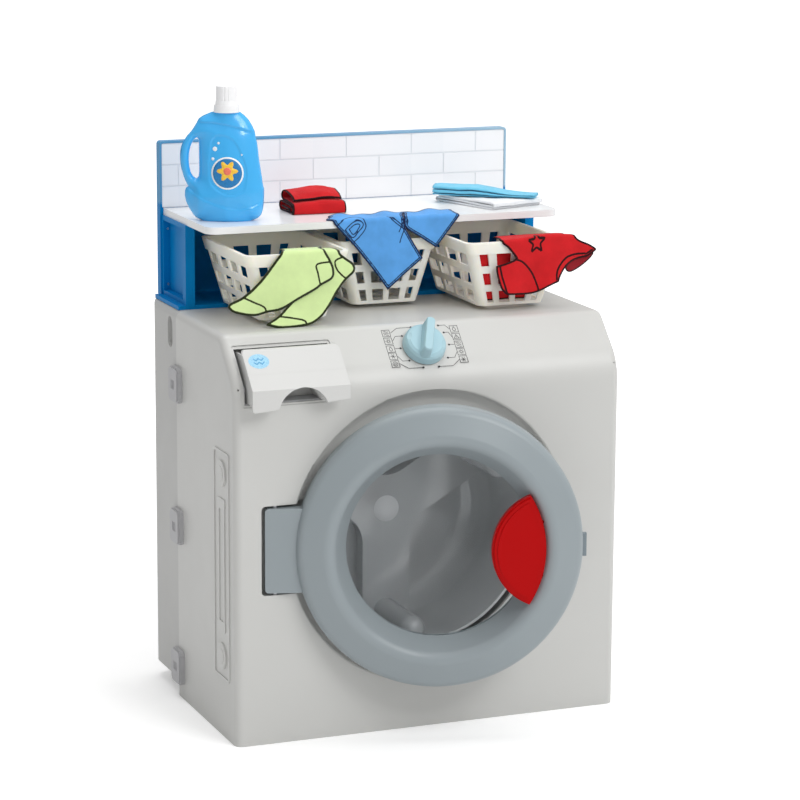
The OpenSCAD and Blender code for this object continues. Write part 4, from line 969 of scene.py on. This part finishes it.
INK = ink_material("panel_ink", srgb("2A2A2C"))
panel.build("panel_marks", INK, "cabinet")


def on_drawer_front(x, s, lift=0.0):
    """Point on the slanted part of the drawer front, s below the crease line of the panel."""
    k = 3.2
    return Vector((x, CREASE_Y - 20 - s * R - (k + lift) * R, BODY_H - s * R + (k + lift) * R)) * MM


mark = Marks(on_drawer_front)
mark.polygon([(-201.0 + 11.8 * math.cos(math.pi * k / 18), 34.5 + 9.4 * math.sin(math.pi * k / 18)) for k in range(36)])
mark.build("drawer_mark", ink_material("mark_blue", srgb("8DBBD4"), 0.5), "drawer")
motif = Marks(lambda u, v, lift: on_drawer_front(u, v, lift + 0.14), 0.1)
for v in (32.2, 37.0):
    motif.stroke([(-207 + 3 * k, v + (1.3 if k % 2 else -1.3)) for k in range(5)], 1.3)
motif.build("drawer_motif", ink_material("motif_blue", srgb("4E93BC"), 0.5), "drawer")


# ---------------------------------------------------------------- bottle
BOTTLE_AT = (-174.8, 38.7)
BOTTLE_TURN = math.radians(-22)
# height, middle, half width and half depth of the bottle
OVALS = np.array(
    [
        (0, 0.6, 28.9, 15), (1.5, 1, 32.5, 17), (4.3, 1, 36.5, 18.8), (9, 0.7, 39.7, 20), (16, -0.6, 42.4, 20.8), (24, -1.7, 44.2, 21),
        (32, -1.8, 44.6, 21), (36.5, -1.2, 43.8, 20.6), (38.5, -0.4, 42.4, 20.4), (42, -1.7, 43.1, 20.2), (54, -4.7, 44.4, 20),
        (68, -7, 44.5, 19.4), (83, -7.2, 43, 18.6), (93, -5.6, 39.4, 18.2), (99, -3.6, 36.4, 17.9), (103, -2.8, 34.2, 17.6),
        (110, -2.4, 30.2, 17), (116, -2.6, 25.9, 16), (122, 0.2, 16.3, 13.5),
    ],
    float,
)
LEFT_EDGE = [Vector((r[1] - r[2], r[0])) for r in OVALS]
RIGHT_EDGE = [Vector((r[1] + r[2], r[0])) for r in OVALS]
GRIP_HOLE = closed_curve([(-41.6, 69), (-40.4, 80), (-37, 88.8), (-33, 92.6), (-30.6, 89), (-30.4, 70), (-30.6, 52), (-33.4, 47.4), (-38, 51), (-40.8, 59)])
SHOULDER = open_curve([(-38, 110), (-31.5, 111.5), (-14.3, 111.5), (1.9, 109.3), (18.2, 104.8), (32.2, 99.9), (38, 97)])
BAND = open_curve([(-50, 42), (-44.5, 38.5), (-38, 31.9), (-27.2, 25.3), (-14.3, 19.7), (-2.4, 15.9), (12.8, 13.1), (29, 14.8), (39.8, 19.8), (46, 23)])
LABEL = closed_curve([(-6.7, 98.2), (-15.3, 92.7), (-18.6, 76), (-19.1, 52.9), (-15.3, 39.6), (2, 29.1), (19.4, 33), (24.4, 46), (23.6, 64), (12.8, 88.3), (3.5, 96)])


def smooth(t):
    t = np.clip(t, 0, 1)
    return t * t * (3 - 2 * t)


def half_depth(points):
    """Half depth of the bottle at points of its front view."""
    q = np.array([tuple(p)[:2] for p in points], float)
    x, z = q[:, 0], q[:, 1]
    width = np.interp(z, OVALS[:, 0], OVALS[:, 2])
    depth = np.interp(z, OVALS[:, 0], OVALS[:, 3])
    edge = np.minimum(distance(q, LEFT_EDGE), distance(q, RIGHT_EDGE))
    edge = np.minimum(edge, distance(q, GRIP_HOLE, True))
    full = depth * np.sqrt(1 - (1 - np.clip(edge / width, 0, 1)) ** 2.15)
    full *= 0.72 + 0.28 * smooth((x + 39) / 10) * smooth((92 - z) / 60 + 0.5)
    rim = smooth(edge / 6)
    shoulder = np.interp(x, [p.x for p in SHOULDER], [p.y for p in SHOULDER]) - z
    full -= rim * 1.9 * smooth(shoulder / 1.6) * np.exp(-np.clip(shoulder, 0, None) / 13)
    band = z - np.interp(x, [p.x for p in BAND], [p.y for p in BAND])
    full -= rim * 1.7 * smooth(band / 2.2) * np.exp(-np.clip(band, 0, None) / 11)
    field = np.where(inside(q, LABEL), distance(q, LABEL, True), 0)
    return full - 1.0 * smooth(field / 1.8)


def on_bottle(points, lift=0.0, side=-1):
    """Points of the front view of the bottle set on its front (side -1) or back."""
    depths = half_depth(points)
    c, k = math.cos(BOTTLE_TURN), math.sin(BOTTLE_TURN)
    out = []
    for p, d in zip(points, depths):
        y = side * (float(d) + lift)
        out.append(Vector((BOTTLE_AT[0] + p[0] * c - y * k, BOTTLE_AT[1] + p[0] * k + y * c, SHELF_TOP + p[1])) * MM)
    return out


def blown_bottle():
    left = [p for p in open_curve(LEFT_EDGE, 3) if 0 <= p.y <= 122]
    right = [p for p in open_curve(RIGHT_EDGE, 3) if 0 <= p.y <= 122]
    foot = [Vector((left[0].x + (right[0].x - left[0].x) * k / 24, 0.0)) for k in range(1, 24)]
    top = [Vector((right[-1].x + (left[-1].x - right[-1].x) * k / 12, 122.0)) for k in range(1, 12)]
    loop = left[:1] + foot + right + top + list(reversed(left[1:]))
    lines = [(SHOULDER, 1.0), (BAND, 1.2), (LABEL + LABEL[:1], 1.0)]
    inner = []
    for line, half in lines:
        ok = inside(line, loop)
        inner.append(([p for p, good in zip(line, ok) if good], half))
    flat, faces = flat_fill(loop, 2.6, (0.12, 0.45, 1.1, 2.1, 3.6), inner, [GRIP_HOLE])
    front = on_bottle(flat)
    rear = on_bottle(flat, 0.0, 1)
    n = len(flat)
    edge = np.minimum(np.minimum(distance(flat, LEFT_EDGE), distance(flat, RIGHT_EDGE)), distance(flat, GRIP_HOLE, True))
    shared = [bool(e < 0.02 and (r - f).length < 0.4 * MM) for e, f, r in zip(edge, front, rear)]
    points = list(front)
    other = []
    for i in range(n):
        if shared[i]:
            points[i] = (front[i] + rear[i]) / 2
            other.append(i)
        else:
            other.append(len(points))
            points.append(rear[i])
    sides = {}
    for f in faces:
        for a, b in zip(f, f[1:] + f[:1]):
            if (b, a) in sides:
                del sides[(b, a)]
            else:
                sides[(a, b)] = True
    flip = (points[faces[0][1]] - points[faces[0][0]]).cross(points[faces[0][2]] - points[faces[0][0]]).y > 0
    all_faces = list(faces) + [tuple(other[i] for i in reversed(f)) for f in faces]
    for a, b in sides:
        ring = [b, a, other[a], other[b]]
        ring = [v for k, v in enumerate(ring) if v not in ring[:k]]
        if len(ring) > 2:
            all_faces.append(tuple(ring))
    if flip:
        all_faces = [tuple(reversed(f)) for f in all_faces]
    return mesh_object("blown_bottle", points, all_faces, BOTTLE_BLUE)


def patch(name, loop, mat, lift, step=2.2):
    """Thin printed shape that lies on the front of the bottle."""
    loop = resampled(loop, 1.2, True)
    flat, faces = flat_fill(loop, step)
    points = on_bottle(flat, lift)
    a, b, c = (points[i] for i in faces[0])
    if (b - a).cross(c - a).y > 0:
        faces = [tuple(reversed(f)) for f in faces]
    obj = cloth_shell(name, points, faces, [(p.x, p.y) for p in flat], [9.0] * len(flat), 0.06, mat)
    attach(obj, "bottle_body")
    return obj


def circle(x, z, r, n=40):
    return [Vector((x + r * math.cos(2 * math.pi * k / n), z + r * math.sin(2 * math.pi * k / n))) for k in range(n)]


BOTTLE_BLUE = moulded("bottle_plastic", srgb("3FB2F4"), 0.22, grain=0.05, mottle=0.02, coat=0.3)
NODES["bottle"].data.materials.clear()
NODES["bottle"].data.materials.append(BOTTLE_BLUE)
blown = blown_bottle()
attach(blown, "bottle_body")
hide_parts("bottle")

picture = (2.5, 55.1)
patch("picture_ring", circle(*picture, 18.2, 56), ink_material("print_white", srgb("F2F6F8"), 0.35), 0.04)
patch("picture_field", circle(*picture, 16.4, 52), ink_material("print_deep_blue", srgb("1C6FA8"), 0.35), 0.12)
bloom = []
for k in range(60):
    t = 2 * math.pi * k / 60
    bloom.append((2.5 + (9.6 + 2.6 * math.cos(6 * t)) * math.cos(t), 57.4 + (9.6 + 2.6 * math.cos(6 * t)) * math.sin(t)))
patch("picture_bloom", closed_curve(bloom[::2], 3), ink_material("print_yellow", srgb("F2B53C"), 0.35), 0.2)
patch("picture_heart", circle(2.5, 57.4, 4.4, 28), ink_material("print_coral", srgb("E8705A"), 0.35), 0.28, 1.6)
BUBBLE = ink_material("print_pale", srgb("DDEFFA"), 0.35)
for k, (x, z, r) in enumerate(((-11.5, 82, 2.6), (-13.8, 70.8, 1.8), (18.6, 75.5, 1.2), (-7.5, 88.5, 1.5))):
    patch("picture_bubble_%d" % k, circle(x, z, r, 24), BUBBLE, 0.04, 1.2)

# ---------------------------------------------------------------- camera, floor and light
azimuth, elevation, roll = (math.radians(v) for v in (-21.906, 11.937, 0.345))
back = Vector((math.sin(azimuth) * math.cos(elevation), -math.cos(azimuth) * math.cos(elevation), math.sin(elevation)))
right = Vector((math.cos(azimuth), math.sin(azimuth), 0))
up = back.cross(right)
right, up = right * math.cos(roll) + up * math.sin(roll), up * math.cos(roll) - right * math.sin(roll)
lens = bpy.data.cameras.new("photo_camera")
lens.sensor_width = 36
lens.lens = 3011.13 / 800 * 36
lens.clip_end = 80
camera = bpy.data.objects.new("photo_camera", lens)
SCENE.collection.objects.link(camera)
camera.matrix_world = Matrix(
    (
        (right.x, up.x, back.x, -1.2472),
        (right.y, up.y, back.y, -3.1564),
        (right.z, up.z, back.z, 1.0633),
        (0, 0, 0, 1),
    )
)
SCENE.camera = camera


def seen_only(tree, seen, other):
    """One value for what the camera sees directly, another for the light it casts."""
    path = tree.nodes.new("ShaderNodeLightPath")
    return maths(tree, "ADD", maths(tree, "MULTIPLY", path.outputs["Is Camera Ray"], seen), maths(tree, "MULTIPLY", maths(tree, "SUBTRACT", 1.0, path.outputs["Is Camera Ray"]), other))


def floor():
    mat, tree, bsdf = new_material("studio_floor")
    grain = noise_at(tree, 4.0, 3.0)
    tree.links.new(mixed(tree, ranged(tree, grain, 0.0, 1.0), (0.93, 0.93, 0.93), (0.95, 0.95, 0.95)), bsdf.inputs["Base Color"])
    bsdf.inputs["Roughness"].default_value = 0.9
    bsdf.inputs["Specular IOR Level"].default_value = 0.0
    bsdf.inputs["Emission Color"].default_value = (1, 1, 1, 1)
    place = tree.nodes.new("ShaderNodeTexCoord")
    away = add(tree, "ShaderNodeVectorMath", Vector=place.outputs["Object"])
    away.operation = "LENGTH"
    glow = ranged(tree, away.outputs["Value"], 0.24, 0.5, 0.5, 1.6)
    tree.links.new(seen_only(tree, glow, 0.0), bsdf.inputs["Emission Strength"])
    obj = mesh_object("studio_floor", [(-60, -60, 0), (60, -60, 0), (60, 60, 0), (-60, 60, 0)], [(0, 1, 2, 3)], mat, smooth=False)


floor()

world = bpy.data.worlds.new("studio")
SCENE.world = world
world.use_nodes = True
tree = world.node_tree
background = tree.nodes["Background"]
place = tree.nodes.new("ShaderNodeTexCoord")
height = add(tree, "ShaderNodeSeparateXYZ", Vector=place.outputs["Generated"])
soft = ranged(tree, height.outputs["Z"], 0.42, 0.84, -0.1, 0.8)
sideways = ranged(tree, height.outputs["X"], 0.62, 1.16, -1.0, 1.0)
tree.links.new(seen_only(tree, 1.0, maths(tree, "MULTIPLY", soft, sideways)), background.inputs["Strength"])
background.inputs["Color"].default_value = (1, 1, 1, 1)


def area_light(name, location, target, size, power):
    data = bpy.data.lights.new(name, "AREA")
    data.shape = "RECTANGLE"
    data.size, data.size_y = size
    data.energy = power
    obj = bpy.data.objects.new(name, data)
    SCENE.collection.objects.link(obj)
    obj.location = location
    obj.rotation_euler = (Vector(target) - Vector(location)).to_track_quat("-Z", "Y").to_euler()


area_light("key", (1.0, -2.4, 2.4), (0, 0, 0.35), (1.6, 1.2), 30)
area_light("glint", (0.5, -2.3, 1.7), (0, 0, 0.3), (0.3, 0.3), 3.5)
area_light("top", (0.0, 0.2, 3.0), (0, 0, 0.4), (2.0, 2.0), 27)

SCENE.view_settings.view_transform = "Standard"
